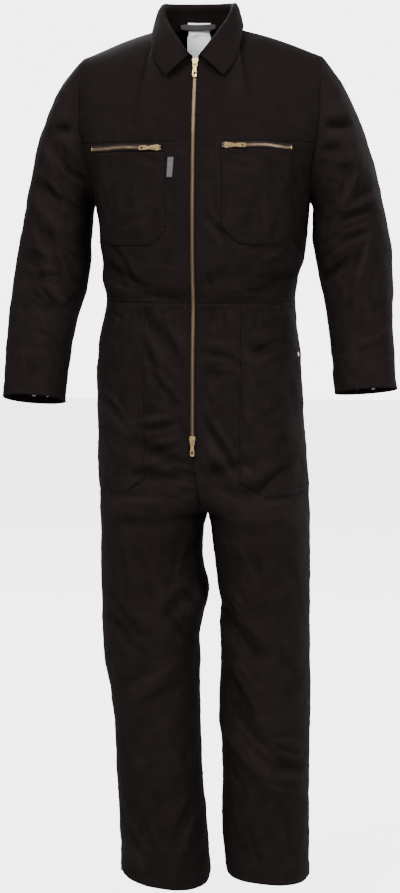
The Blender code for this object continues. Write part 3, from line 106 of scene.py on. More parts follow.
# by height: x of the outer and inner side of each half, depth at the front and the back
bodyRows = inMetres({
    "z": [-200, -311, -335, -379, -422, -450, -490, -520, -554, -600, -645, -687, -730, -765, -795, -820, -840, -857,
          -873.5, -888, -933.5, -979, -1024, -1045, -1069, -1115, -1160, -1206, -1252, -1298, -1390, -1482, -1530,
          -1580],
    "rightOut": [-230, -196.5, -192, -188, -184.5, -181.5, -176.2, -181.5, -189, -193, -192, -191.2, -190.5, -190,
                 -189.8, -189.5, -189.3, -189, -188.5, -188, -188, -188.5, -188, -188, -188, -186.5, -182.5, -174,
                 -167.5, -163.8, -160.5, -156, -154.5, -154],
    "rightIn": [230, 196.5, 192, 188, 184.5, 181.5, 176.2, 181.5, 189, 193, 192, 185, 172, 148, 121, 92, 64, 36, 10.3,
                6.8, -2, 0.5, 10.5, 9.5, 2, -6, -6.4, -6, -6, -4.5, -0.5, 8.5, 11.5, 16],
    "leftIn": [-230, -196.5, -194.5, -190, -184.5, -175.5, -169.5, -172, -176.2, -181.2, -183.2, -180, -166, -140,
               -112, -82, -50, -20, 10.3, 14.5, 20.5, 26.8, 30.5, 32.5, 33.5, 34.2, 34, 31.8, 33, 36.5, 38.5, 38.5,
               42.5, 49],
    "leftOut": [230, 196.5, 194.5, 190, 184.5, 175.5, 169.5, 172, 176.2, 181.2, 183.2, 185.5, 188.5, 192, 194.5, 196,
                197, 197.5, 198, 198.5, 198.8, 199.2, 199.6, 199.8, 200, 200.3, 200.3, 201.5, 202, 201, 200, 201, 201,
                201],
    "front": [-141, -150, -151, -151, -149, -145, -137, -139, -143, -147, -148, -149, -149, -148, -146, -143, -140,
              -137, -134, -131, -124, -118, -112, -109, -106, -102, -100, -99, -97, -94, -89, -86, -85, -85],
    "back": [128, 127, 126, 124, 120, 115, 110, 113, 119, 128, 133, 136, 138, 138, 137, 135, 133, 131, 129, 127, 122,
             118, 114, 112, 110, 107, 105, 103, 101, 99, 96, 94, 93, 92],
})
armholeRows = inMetres({
    "z": [-330, -311, -275, -228, -190, -150, -100, -40],
    "x": [196.5, 196.5, 198.5, 206, 213, 216.5, 217.5, 217],
})
armholeCut = {"y": 0.006, "z": -0.1800, "halfDepth": 0.070, "halfHeight": 0.1310, "shoulderTurn": 0.515}
neckCut = {"halfWidth": 0.0715, "middleY": -0.017, "halfDepth": 0.0885, "frontZ": -0.0585, "sideZ": 0.0020,
           "backZ": 0.0090, "sideAngle": math.radians(104), "shift": -0.0066, "share": 0.36, "arch": 0.0045}
topSlope = {-1: ((0, 0.22, 0.97), (0, 0.98, 0.18)), 1: ((0, -0.55, 0.83), (0, -0.98, 0.20))}
hemCut = {-1: {"lift": 0.0003, "tilt": 0.132, "drop": 0.0130}, 1: {"lift": 0.0025, "tilt": 0.070, "drop": 0.0}}
# rings of the sleeves below the shoulder: outer and inner side, depth of the middle, half the depth
sleeveRows = inMetres({
    "z": [-338, -379, -422, -444, -467, -510, -555, -599, -665],
    "rightOut": [-332, -340, -347.5, -350.5, -352.5, -358.8, -361, -362.8, -365.5],
    "rightIn": [-204.5, -208.5, -208.8, -212, -216.5, -229, -238.5, -244, -250],
    "leftIn": [201, 201.5, 209.8, 213, 219, 229, 234.5, 241.2, 245],
    "leftOut": [334.5, 342.5, 347, 348, 348.8, 348.5, 350.8, 353.5, 360],
    "y": [8, 7, 5, 3, 0, -7, -16, -26, -40],
    "halfDepth": [72, 71, 68, 66, 64, 58, 53, 49, 45],
})
cuffCut = {-1: {"z": -0.6705, "tilt": -0.045, "lean": 0.27}, 1: {"z": -0.6505, "tilt": 0.085, "lean": 0.19}}
capCut = {-1: (0.74, 0.67), 1: (0.66, 0.75), "underarm": (0.85, 0.50), "spread": 0.22}

# broad creases as seen from the front: x0, z0, x1, z1, width, depth into (-) or out of the cloth
frontCreases = inMetres([
    (-185, -412, -88, -462, 14, -6.5), (-188, -448, -120, -478, 11, 3.5), (-75, -470, -10, -482, 12, -3),
    (185, -425, 110, -468, 14, -5.5), (120, -448, 40, -476, 13, 3.5), (60, -430, 15, -455, 12, -2.5),
    (-100, -500, -35, -565, 15, -5), (95, -560, 150, -585, 12, -4.5), (12, -602, 62, -612, 12, -3.5),
    (-175, -680, -100, -722, 13, 4.5), (-180, -655, -115, -700, 12, -3), (-10, -775, -108, -735, 14, -6),
    (-10, -800, -120, -790, 12, -4.5), (20, -735, 85, -800, 14, 5), (10, -790, 105, -770, 13, -5),
    (185, -775, 85, -830, 14, -5), (-150, -856, -70, -846, 13, 3.2), (-150, -885, -45, -872, 14, -3.2),
    (30, -1030, 72, -1085, 16, -7), (75, -1085, 120, -1130, 15, -6), (45, -1170, 105, -1270, 24, -8),
    (48, -1265, 150, -1375, 18, 7), (140, -1325, 198, -1350, 14, -6), (-10, -1010, -60, -1060, 16, -5.5),
    (-175, -1060, -100, -1100, 18, -5), (-40, -1150, -120, -1210, 20, 5.5), (-140, -1480, -95, -1550, 14, 5),
    (-12, -1460, -45, -1535, 13, 4),
])
backCreases = inMetres([
    (-150, -260, -105, -400, 16, -5), (155, -255, 110, -390, 16, -5), (-180, -425, -60, -468, 15, -6.5),
    (178, -430, 50, -470, 15, -6), (-50, -445, 60, -452, 13, 4.5), (-130, -560, -30, -600, 15, -3.5),
    (-15, -790, -120, -755, 16, -6.5), (25, -795, 125, -752, 16, -6.5), (-30, -850, -125, -915, 15, -5),
    (45, -852, 140, -912, 15, -5), (-40, -905, -120, -965, 15, 4), (55, -905, 135, -960, 15, 4),
    (-25, -1115, -150, -1095, 18, -7), (50, -1120, 175, -1100, 18, -7), (-30, -1165, -140, -1150, 15, 5),
    (55, -1168, 165, -1150, 15, 5), (-120, -1440, -60, -1530, 16, -4.5), (90, -1430, 150, -1520, 16, -4.5),
])
sleeveCreases = inMetres({
    (-1, -1): [
        (-222, -172, -268, -180, 12, -8), (-262, -200, -200, -280, 13, -7), (-290, -190, -238, -298, 13, 6),
        (-304, -265, -232, -318, 12, -8), (-308, -300, -250, -360, 13, 5), (-300, -342, -262, -385, 12, -7.5),
        (-328, -398, -286, -425, 12, -7), (-318, -442, -275, -450, 11, -5.5), (-308, -468, -262, -505, 13, -7),
        (-338, -486, -290, -512, 11, -4.5), (-300, -345, -250, -500, 14, 5)],
    (1, -1): [
        (222, -170, 272, -172, 13, -8.5), (225, -192, 268, -190, 10, 5), (222, -216, 250, -214, 9, -4),
        (268, -192, 288, -255, 12, 5.5), (288, -255, 248, -325, 13, 5), (244, -254, 282, -254, 11, -6),
        (272, -308, 312, -275, 12, -7.5), (248, -346, 322, -316, 13, -8), (250, -378, 304, -358, 12, -7),
        (255, -402, 308, -364, 10, 4), (215, -448, 272, -414, 14, -8), (312, -372, 280, -478, 13, 5.5)],
    (-1, 1): [
        (-225, -190, -285, -225, 14, -7), (-232, -262, -312, -300, 14, 5.5), (-225, -335, -318, -352, 13, -7),
        (-240, -400, -325, -388, 12, 4.5), (-235, -440, -330, -452, 13, -6)],
    (1, 1): [
        (225, -185, 288, -218, 14, -7), (235, -258, 310, -292, 14, 5.5), (225, -330, 320, -348, 13, -7),
        (238, -396, 325, -402, 12, 4.5), (238, -446, 325, -440, 13, -6)],
})

# finer creases drawn on squared paper: column and row of both ends, then width and depth in about millimetres;
# each paper has the column of its middle line, the row of height 0 and the size of a square in metres
squares = {
    "front": {"middle": 193.0, "top": 28.6, "size": 0.00179},
    "sleeve": {"middle": 197.8, "top": 33.6, "size": 0.00182},
    "leg": {"middle": 196.1, "top": 32.9, "size": 0.00181},
}
drawn = {
    "front": [
        (104, 242, 119, 256, 5, -2.6), (119, 257, 132, 279, 6, -2.8), (110, 262, 128, 284, 5, 1.8),
        (101, 262, 121, 275, 5, -2.2), (121, 275, 146, 285, 5, -2.0), (104, 283, 130, 292, 4, 1.5),
        (143, 157, 160, 163, 3.5, -1.6), (140, 163, 156, 170, 4, 1.0), (224, 153, 239, 156, 3, -1.3),
        (228, 160, 250, 170, 5, -1.2), (164, 261, 170, 263, 3, -1.2), (207, 214, 230, 239, 5, -2.2),
        (204, 222, 224, 247, 4.5, 1.5), (214, 204, 222, 217, 4, -1.2), (222, 178, 225, 214, 4, -1.0),
        (233, 240, 252, 246, 4, -1.4), (245, 250, 262, 244, 4, -1.2), (120, 230, 146, 222, 7, 1.1),
        (128, 192, 136, 216, 7, -1.0), (262, 178, 264, 226, 6, 1.2), (276, 214, 268, 240, 5, -1.2),
        (296, 215, 305, 246, 5, -1.8), (288, 232, 302, 262, 5, -2.0), (285, 256, 296, 280, 5, 1.5),
        (240, 285, 270, 272, 6, -1.8), (256, 262, 284, 248, 6, 1.4), (232, 296, 262, 292, 4, 1.4),
        (142, 292, 176, 298, 4, -1.4), (206, 262, 214, 290, 5, -1.0), (160, 208, 172, 244, 6, 0.9),
        (124, 66, 160, 94, 8, -1.3), (138, 58, 162, 76, 6, 1.0), (236, 66, 222, 96, 7, -1.2),
        (108, 86, 118, 128, 9, -1.0), (262, 88, 284, 116, 9, -0.9), (150, 106, 182, 122, 8, 0.7),
        (208, 104, 232, 130, 8, -0.7), (172, 176, 178, 208, 6, -0.8), (98, 176, 104, 204, 6, -1.2),
        (100, 206, 112, 226, 5, 1.1), (290, 172, 298, 200, 6, -1.3), (252, 200, 246, 228, 6, -0.9),
        (107, 309, 122, 320, 4, -2.4), (118, 308, 112, 332, 4, 1.2), (130, 309, 128, 330, 4, -1.3),
        (144, 310, 150, 336, 4, -1.2), (160, 309, 166, 326, 3.5, -1.1), (176, 310, 180, 330, 3.5, 0.9),
        (212, 310, 210, 332, 3.5, -1.1), (223, 309, 226, 330, 4, -1.4), (238, 310, 244, 326, 3.5, -1.0),
        (256, 309, 250, 332, 4, -1.3), (270, 309, 276, 328, 4, -1.2), (284, 308, 278, 330, 4, -2.0),
        (144, 340, 161, 383, 7, -3.0), (161, 383, 181, 404, 6, -2.6), (166, 330, 184, 364, 6, -2.4),
        (146, 360, 172, 384, 5, 2.2), (156, 344, 178, 374, 5, 1.6), (104, 392, 132, 421, 6, 2.4),
        (132, 421, 169, 413, 6, 2.4), (143, 428, 184, 418, 6, -2.6), (112, 414, 138, 436, 5, -1.8),
        (150, 398, 178, 410, 5, 1.5), (180, 412, 189, 440, 4, -1.8), (150, 442, 182, 434, 5, 1.7),
        (143, 452, 180, 443, 6, -2.2), (122, 470, 158, 458, 7, 1.3), (200, 348, 231, 355, 6, -2.8),
        (231, 355, 243, 364, 5, -2.2), (204, 338, 234, 344, 5, 1.6), (206, 366, 236, 368, 5, 1.4),
        (251, 350, 277, 338, 6, -2.6), (254, 362, 282, 348, 5, 1.7), (246, 330, 268, 322, 5, -1.2),
        (200, 380, 214, 402, 6, -1.4), (203, 412, 220, 441, 6, -2.6), (220, 441, 238, 474, 6, -2.8),
        (216, 420, 236, 452, 5, 2.2), (236, 452, 250, 474, 5, 1.7), (232, 404, 252, 430, 6, -1.3),
        (256, 418, 284, 398, 7, -1.2), (262, 440, 292, 420, 7, 1.2), (198, 446, 214, 476, 5, 1.8),
        (251, 496, 280, 468, 6, -2.2), (243, 488, 268, 464, 5, 1.6), (256, 508, 290, 500, 5, 1.5),
        (172, 466, 198, 474, 6, -3.0), (168, 478, 196, 486, 5, 1.8), (160, 470, 180, 460, 5, 1.6),
        (121, 499, 160, 502, 4, 1.8), (118, 508, 158, 512, 5, -1.6), (130, 486, 146, 478, 4, -1.3),
        (212, 488, 240, 502, 5, 1.6), (210, 500, 236, 516, 5, -2.0), (160, 492, 188, 504, 5, -1.6),
        (150, 520, 186, 512, 6, 1.3), (222, 520, 262, 518, 6, 1.2), (104, 440, 116, 470, 6, -1.2),
        (290, 380, 300, 420, 5, 1.6), (284, 386, 292, 424, 5, -1.4), (296, 440, 298, 480, 5, -1.2),
    ],
    "leg": [
        (206, 500, 210, 540, 4, -2.0), (198, 520, 186, 560, 5, -1.6), (186, 536, 176, 580, 5, 1.3),
        (222, 596, 238, 617, 5, -2.2), (228, 586, 246, 606, 5, 1.7), (243, 627, 260, 643, 5, -2.2),
        (234, 634, 252, 654, 4, 1.6), (216, 610, 226, 632, 4, -1.6), (227, 676, 254, 718, 8, -2.4),
        (238, 664, 262, 694, 6, 1.6), (227, 717, 280, 770, 6, 2.4), (222, 728, 262, 776, 6, -2.0),
        (280, 751, 306, 764, 5, -2.4), (276, 742, 300, 748, 4, 1.6), (262, 784, 300, 796, 6, -1.4),
        (226, 768, 246, 800, 6, -1.5), (232, 800, 242, 850, 7, 1.2), (250, 836, 262, 872, 6, -1.4),
        (286, 820, 292, 862, 7, -1.3), (292, 560, 300, 610, 7, -1.3), (284, 640, 300, 676, 7, 1.2),
        (258, 560, 270, 600, 9, -1.0), (240, 540, 256, 576, 8, 1.0),
        (184, 590, 200, 618, 5, -2.2), (178, 600, 196, 632, 5, 1.6), (168, 616, 190, 650, 6, -1.8),
        (108, 598, 132, 626, 6, -1.8), (112, 618, 142, 646, 6, 1.5), (120, 640, 152, 662, 6, -1.4),
        (126, 696, 170, 672, 8, 1.6), (130, 712, 176, 690, 7, -1.6), (112, 740, 134, 790, 8, -1.2),
        (160, 736, 178, 778, 8, 1.1), (188, 690, 192, 740, 5, -1.6), (186, 752, 190, 800, 5, 1.2),
        (126, 833, 143, 862, 6, 2.2), (138, 826, 154, 862, 6, -1.8), (196, 820, 180, 856, 5, 2.0),
        (188, 812, 172, 850, 5, -1.6), (112, 806, 122, 850, 6, -1.3), (156, 800, 160, 846, 8, -0.9),
        (120, 548, 128, 590, 9, -1.2), (148, 548, 160, 600, 9, 1.0), (176, 560, 168, 592, 6, -1.2),
    ],
    -1: [
        (54, 128, 79, 134, 4, -2.4), (58, 138, 80, 143, 3.5, 1.8), (62, 143, 66, 158, 3.5, -1.8),
        (62, 161, 71, 174, 4, -2.2), (71, 174, 90, 184, 4, -2.4), (56, 160, 66, 178, 3.5, 1.8),
        (66, 178, 88, 192, 3.5, 2.0), (83, 164, 90, 181, 4, -2.4), (74, 150, 84, 170, 4, 1.3),
        (49, 181, 66, 204, 4.5, 1.8), (42, 182, 60, 206, 4, -2.0), (60, 198, 82, 214, 4, -1.8),
        (56, 204, 76, 222, 4, 1.4), (45, 217, 51, 236, 4.5, -2.6), (51, 234, 64, 262, 4, -1.8),
        (43, 213, 56, 244, 4, 2.0), (56, 244, 66, 280, 4.5, 2.2), (36, 226, 44, 250, 5, -1.2),
        (29, 252, 47, 262, 4, -2.4), (30, 262, 46, 269, 3.5, 1.6), (38, 276, 58, 276, 4, -2.4),
        (36, 269, 54, 269, 3.5, 1.6), (38, 284, 60, 290, 4, 1.5), (41, 290, 55, 306, 4, -2.4),
        (34, 290, 50, 306, 3.5, 1.6), (52, 290, 64, 306, 4, 1.6), (24, 298, 46, 314, 4, -2.2),
        (22, 308, 44, 322, 4, 1.3), (62, 250, 80, 262, 5, -1.6), (66, 272, 78, 290, 5, -1.8),
        (58, 312, 72, 296, 5, -1.4), (30, 330, 56, 338, 6, -1.2), (26, 352, 54, 356, 7, 1.0),
        (52, 340, 66, 366, 7, -0.9), (20, 344, 24, 378, 5, 1.0), (70, 108, 76, 126, 5, -1.6),
        (62, 90, 72, 112, 6, 1.0), (34, 190, 40, 214, 4, 1.2), (26, 232, 32, 248, 4, -1.2),
    ],
    1: [
        (321, 129, 346, 130, 4.5, -3.0), (321, 119, 345, 119, 3, 2.2), (345, 119, 351, 128, 3, 2.0),
        (349, 130, 333, 141, 3, 2.2), (333, 141, 319, 147, 3, 1.9), (320, 152, 337, 149, 4, -1.8),
        (318, 159, 332, 162, 4, 1.2), (336, 108, 352, 112, 4, 1.2), (344, 168, 353, 176, 3.5, 1.9),
        (353, 176, 349, 190, 3.5, 2.2), (349, 190, 338, 212, 3.5, 2.2), (334, 170, 350, 168, 3.5, -1.8),
        (342, 178, 336, 200, 4, -2.2), (356, 180, 354, 196, 3.5, -1.6), (352, 201, 373, 187, 4, -2.4),
        (356, 208, 376, 196, 3.5, 1.5), (338, 221, 369, 210, 4, -2.4), (338, 214, 358, 206, 3.5, 1.6),
        (338, 231, 366, 222, 3.5, -2.0), (338, 226, 366, 217, 3, 1.6), (343, 240, 366, 232, 4, -2.4),
        (344, 247, 368, 239, 3.5, 1.3), (368, 233, 362, 256, 4, 2.0), (362, 256, 354, 284, 4.5, 2.2),
        (360, 244, 350, 272, 4, -1.8), (321, 277, 345, 259, 4.5, -3.0), (322, 285, 348, 268, 3.5, 2.0),
        (322, 264, 340, 248, 4, 1.5), (318, 246, 332, 236, 5, -2.0), (318, 226, 334, 216, 5, -1.8),
        (316, 206, 330, 198, 5, 1.2), (350, 292, 346, 320, 6, -1.2), (360, 341, 384, 331, 4, 1.4),
        (356, 350, 380, 342, 4, -1.3), (338, 300, 334, 330, 6, 1.0), (366, 290, 376, 320, 7, -0.9),
        (372, 240, 380, 262, 5, 1.0), (324, 182, 336, 186, 4, -1.6), (340, 360, 352, 376, 6, -1.0),
    ],
}


# width and depth of a crisp line: a narrow crease, and less than half of it taken away twice as wide
crispLine = ((0.0011, 0.00140), (0.0023, -0.00055))
# how the lines go over to the sides that face away, and how much is left of a sleeve's broad creases
turnedOver = {"bodyTop": -0.36, "body": (-0.012, 0.85), "sleeve": (0.010, 0.8), "broadSleeve": 0.55}


def fromSquares(kind, rows):
    paper = squares[kind]
    made = []
    for c0, r0, c1, r1, width, depth in rows:
        x0, x1 = ((c - paper["middle"]) * paper["size"] for c in (c0, c1))
        z0, z1 = ((paper["top"] - r) * paper["size"] for r in (r0, r1))
        made += [(x0, z0, x1, z1, width * wide, depth * deep) for wide, deep in crispLine]
    return made


# the same lines turned over, moved by a step in height and weakened
def mirrored(rows, step, strength):
    return [(-x0, z0 + step, -x1, z1 + step, width, depth * strength) for x0, z0, x1, z1, width, depth in rows]


bodyLines = fromSquares("front", drawn["front"]) + fromSquares("leg", drawn["leg"])
frontCreases += bodyLines
backCreases += mirrored([line for line in bodyLines if line[1] < turnedOver["bodyTop"]], *turnedOver["body"])
for side in (-1, 1):
    near, far = (fromSquares("sleeve", drawn[way]) for way in (side, -side))
    broad = [(*row[:5], row[5] * turnedOver["broadSleeve"]) for row in sleeveCreases[side, -1]]
    sleeveCreases[side, -1] = broad + near
    sleeveCreases[side, 1] += mirrored(far, *turnedOver["sleeve"])


# cubic through a table's points, the slope at each point being that of its neighbours
def through(at, where, values):
    order = np.argsort(where)
    where, values = np.asarray(where, float)[order], np.asarray(values, float)[order]
    slopes = np.gradient(values, where)
    at = np.clip(at, where[0], where[-1])
    i = np.clip(np.searchsorted(where, at) - 1, 0, len(where) - 2)
    span = where[i + 1] - where[i]
    return between(values[i], span * slopes[i], values[i + 1], span * slopes[i + 1], (at - where[i]) / span)


# cubic from one point and slope to another
def between(start, startSlope, end, endSlope, t):
    return ((2 * t**3 - 3 * t**2 + 1) * start + (t**3 - 2 * t**2 + t) * startSlope
            + (3 * t**2 - 2 * t**3) * end + (t**3 - t**2) * endSlope)


# vector divided by its length
def unit(v):
    return v / np.maximum(np.linalg.norm(v, axis=-1, keepdims=True), 1e-12)


# sine or cosine to the power 2 / fullness, its sign kept, which squares a circle off
def squared(value, fullness):
    return np.sign(value) * np.abs(value) ** (2 / fullness)


# smooth step 3t^2 - 2t^3, held at 0 and 1
def ease(t):
    t = np.clip(t, 0, 1)
    return t * t * (3 - 2 * t)


# points from x, y and z
def stack(x, y, z):
    return np.stack(np.broadcast_arrays(x, y, z), axis=-1)


# numbers in this many even steps across, or down
def acrossEven(low, high, count):
    return np.linspace(low, high, count)[None, :]


def downEven(low, high, count):
    return np.linspace(low, high, count)[:, None]


def evenGrid(columns, rows):
    return acrossEven(0, 1, columns), downEven(0, 1, rows)


# distances between neighbours along one axis of a grid, and their running total from 0
def stepsOf(grid, axis):
    return np.linalg.norm(np.diff(grid[..., :3], axis=axis), axis=-1)


def totalOf(steps, axis):
    return np.insert(np.cumsum(steps, axis=axis), 0, 0, axis=axis)


# soft noise: sum of eight plane waves in fixed directions, about -1 to 1
def ripple(points, size, turn=0.0):
    i = np.arange(8)
    ways = np.stack([np.cos(i * 2.4 + turn), np.sin(i * 1.7 + turn * 2), np.cos(i * 3.1 + 1 + turn)], axis=-1)
    rates = 2 * math.pi / size * (0.6 + 0.13 * i)
    return np.sin((points @ (unit(ways) * rates[:, None]).T) + i * 1.9 + turn).mean(axis=-1) * 1.8


# crumpled noise: 1 less the size of the soft noise, so that it peaks in crisp wandering lines
def crumple(points, size, turn=0.0):
    stretched = points * np.array([1.0, 1.0, 1.7])
    return (1 - np.clip(np.abs(ripple(stretched, size, turn)) / 0.45, 0, 1)) ** 1.5 - 0.3


# height and size of the soft, the small and the crumpled noise on the cloth, each with its turn
fineFolds = {"body": ((0.0008, 0.060, 0.0), (0.0004, 0.024, 1.0), (0.0007, 0.085, 2.3)),
             "sleeve": ((0.0008, 0.050, 2.0), (0.0004, 0.022, 0.5), (0.0008, 0.075, 1.1))}


def fineHeight(points, kind):
    shapes = (ripple, ripple, crumple)
    return sum(height * shape(points, size, turn) for shape, (height, size, turn) in zip(shapes, fineFolds[kind]))


# depth * exp(-(distance / width)^2) for each crease, times a sine along its line that fades at both ends
def creaseHeight(points, creases):
    total = np.zeros(points.shape[:-1])
    for x0, z0, x1, z1, width, depth in creases:
        along = np.array([x1 - x0, z1 - z0])
        length = math.hypot(*along)
        offset = points[..., [0, 2]] - (x0, z0)
        run = offset @ along / length**2
        t = np.clip(run, 0, 1)
        away = np.hypot((offset @ np.array([-along[1], along[0]])) / length, (run - t) * length)
        total += depth * np.sin(math.pi * (0.08 + 0.84 * t)) ** 0.7 * np.exp(-((away / width) ** 2))
    return total


# points moved outwards by the front's creases or the back's, whichever way they face
def creased(points, outward, front, back, strength=1.0):
    facing = ease(0.5 - outward[..., 1] / 0.6)
    height = facing * creaseHeight(points, front) + (1 - facing) * creaseHeight(points, back)
    return points + outward * (strength * height)[..., None]


# names of the outer and the inner side of one half in the body's or the sleeves' table
def sides(side):
    return ("rightOut", "rightIn") if side < 0 else ("leftOut", "leftIn")


def bodyAt(name, z):
    return through(z, bodyRows["z"], bodyRows[name])


# y of the foremost or the rearmost line of the body
def faceAt(face, z):
    return bodyAt("front" if face < 0 else "back", z)


# x of the plane between the halves: 0, drifting to the crotch over the last part above it
def middleX(z):
    return cut["crotchX"] * ease((cut["crotchDriftZ"] - z) / (cut["crotchDriftZ"] - cut["crotchZ"]))


# outward direction of the ellipse with the row's centre and half axes
def bodyOutward(points, side):
    outName, inName = sides(side)
    z = points[..., 2]
    middle = 0.5 * (bodyAt(outName, z) + bodyAt(inName, z))
    half = np.abs(bodyAt(outName, z) - middle)
    depth = 0.5 * (bodyAt("back", z) - bodyAt("front", z))
    return unit(stack((points[..., 0] - middle) / half**2, (points[..., 1] - cut["sideY"]) / depth**2, 0 * z))


zipCalm = {"reach": 0.035, "share": 0.75}


# the body's creases and fine folds, calmed beside the zip
def creasedBody(points, side, strength=1.0):
    near = 1 - ease(np.abs(points[..., 0]) / zipCalm["reach"])
    zipped = (points[..., 1] < 0) & (points[..., 2] > cut["zipEndZ"])
    calm = 1 - zipCalm["share"] * near * zipped
    outward = bodyOutward(points, side)
    moved = creased(points, outward, frontCreases, backCreases, strength * calm)
    return moved + outward * (fineHeight(points, "body") * strength * calm)[..., None]


# armhole, turned round from the underarm: height by cosine, depth by squared sine, x from the table
def armhole(side, turn):
    angle = 2 * math.pi * np.asarray(turn, float)
    z = armholeCut["z"] - armholeCut["halfHeight"] * np.cos(angle)
    y = armholeCut["y"] - armholeCut["halfDepth"] * squared(np.sin(angle), cut["fullness"])
    return stack(side * through(z, armholeRows["z"], armholeRows["x"]), y, z)


# turn at which the front of the armhole has this height
def armholeTurn(z):
    return np.arccos(np.clip((armholeCut["z"] - z) / armholeCut["halfHeight"], -1, 1)) / (2 * math.pi)


# level row of the chest, a superellipse cut off at its end: share 0 at the middle, 1 at side seam or armhole
def chestRow(side, face, share, z):
    z = np.asarray(z, float)
    middleY = faceAt(face, z)
    turn = armholeTurn(z)
    edge = armhole(side, turn if face < 0 else 1 - turn)
    low = z < cut["armpitZ"] + 1e-6
    edgeX = np.abs(np.where(low, bodyAt(sides(side)[0], z), edge[..., 0]))
    edgeY = np.where(low, cut["sideY"], edge[..., 1])
    n = cut["fullness"]
    rise = np.clip((edgeY - cut["sideY"]) / (middleY - cut["sideY"]), 0, 1)
    width = edgeX / (1 - rise**n) ** (1 / n)
    end = np.arcsin(np.clip((edgeX / width) ** (n / 2), 0, 1))
    angle = end * share
    return stack(side * width * squared(np.sin(angle), n),
                 cut["sideY"] + (middleY - cut["sideY"]) * squared(np.cos(angle), n), z)


def chestSurface(side, face):
    return lambda share, z: creasedBody(chestRow(side, face, share, z), side)


# neck seam: an ellipse in plan, its height easing from the front over the shoulder to the back
def neckline(side, angle):
    toSide = ease(angle / neckCut["sideAngle"])
    toBack = ease((angle - neckCut["sideAngle"]) / (math.pi - neckCut["sideAngle"]))
    z = neckCut["frontZ"] + (neckCut["sideZ"] - neckCut["frontZ"]) * toSide**1.25
    return stack(side * neckCut["halfWidth"] * np.sin(angle) + neckCut["shift"] * toSide,
                 neckCut["middleY"] - neckCut["halfDepth"] * np.cos(angle),
                 z + (neckCut["backZ"] - neckCut["sideZ"]) * toBack)


# the upper body rises from the yoke seam (t 0) on a cubic to the neckline and the shoulder seam (t 1)
def yokeRow(side, face, share, t):
    share, t = np.broadcast_arrays(np.asarray(share, float), np.asarray(t, float))
    toNeck = np.clip(share / neckCut["share"], 0, 1)
    angle = neckCut["sideAngle"] * toNeck
    if face > 0:
        angle = math.pi - (math.pi - neckCut["sideAngle"]) * toNeck
    along = np.clip((share - neckCut["share"]) / (1 - neckCut["share"]), 0, 1)[..., None]
    seamStart = neckline(side, np.array(neckCut["sideAngle"]))
    seam = seamStart + (armhole(side, armholeCut["shoulderTurn"]) - seamStart) * along
    seam[..., 2] += neckCut["arch"] * np.sin(math.pi * along[..., 0])
    top = np.where((toNeck < 1)[..., None], neckline(side, angle), seam)
    bottom = chestRow(side, face, share, cut["yokeZ"])
    slope = unit(bottom - chestRow(side, face, share, cut["yokeZ"] - 0.004))
    middle, outer = (np.array(way, float) for way in topSlope[face])
    leaving = unit(middle + (outer - middle) * ease(toNeck)[..., None])
    length = np.linalg.norm(top - bottom, axis=-1, keepdims=True)
    return between(bottom, slope * length, top, leaving * length, t[..., None])


def yokeSurface(side, face):
    first = float(armholeTurn(cut["yokeZ"]))
    first = first if face < 0 else 1 - first

    def surface(share, t):
        share, t = np.broadcast_arrays(np.asarray(share, float), np.asarray(t, float))
        edge = armhole(side, first + (armholeCut["shoulderTurn"] - first) * t)
        row = yokeRow(side, face, share, t) + (edge - yokeRow(side, face, 1.0, t)) * (share**5)[..., None]
        return creasedBody(row, side, 1 - t)
    return surface


# a leg or hip section, a superellipse cut off at the middle plane: share 0 at middle or inseam, 1 at side seam
def trouserSurface(side, face):
    outName, inName = sides(side)
    hem = hemCut[side]

    def surface(share, z):
        z = np.asarray(z, float)
        outer, inner = bodyAt(outName, z), bodyAt(inName, z)
        centre, half = 0.5 * (outer + inner), 0.5 * np.abs(outer - inner)
        depth = np.abs(faceAt(face, z) - cut["sideY"])
        n = cut["fullness"]
        # the columns are even below the crotch and close up towards the middle where the plane cuts the section off
        reach = np.where(z < cut["crotchZ"], 1.0, np.clip(side * (centre - middleX(z)) / half, 0, 1))
        inwards = 1 - share
        short = math.pi - np.arccos(-(reach ** (n / 2)))
        angle = math.pi * inwards - short * inwards ** (1 + 3 * ease((reach - 0.6) / 0.4))
        x = centre + side * half * squared(np.cos(angle), n)
        y = cut["sideY"] + face * depth * squared(np.sin(angle), n)
        nearHem = ease((cut["hemSlantZ"] - z) / (cut["hemSlantZ"] - cut["hemZ"]))
        rise = hem["lift"] - hem["tilt"] * (x - centre) - hem["drop"] * np.clip((cut["sideY"] - y) / depth, -1, 1)
        points = creasedBody(stack(x, y, z + nearHem * rise), side)
        # beside the seat and fly seams the cloth stays in its plane
        seam = ease((z - cut["crotchZ"]) / 0.02 + 1) * np.exp(-((share / 0.05) ** 2))
        points[..., 0] -= (points[..., 0] - x) * seam
        limit = middleX(z) + 0 * x
        past = (z > cut["crotchZ"] - 0.001) & (side * (points[..., 0] - limit) < 0)
        points[..., 0] = np.where(past, limit, points[..., 0])
        return points
    return surface


# a sleeve: s 0 to 1 bends from the armhole over into the arm, 1 to 2 goes down to the cuff
def sleeveRing(side, turn, z):
    outName, inName = sides(side)
    at = lambda name: through(z, sleeveRows["z"], sleeveRows[name])
    centre, half = 0.5 * (at(outName) + at(inName)), 0.5 * np.abs(at(outName) - at(inName))
    angle = 2 * math.pi * turn
    x = centre - side * half * squared(np.cos(angle), cut["sleeveFullness"])
    y = at("y") - at("halfDepth") * squared(np.sin(angle), cut["sleeveFullness"])
    top, bottom = sleeveRows["z"][0], sleeveRows["z"][-1]
    rise = cuffCut[side]["tilt"] * (x - centre) - cuffCut[side]["lean"] * (y - at("y"))
    return stack(x, y, z + ease((top - z) / (top - bottom)) * rise)


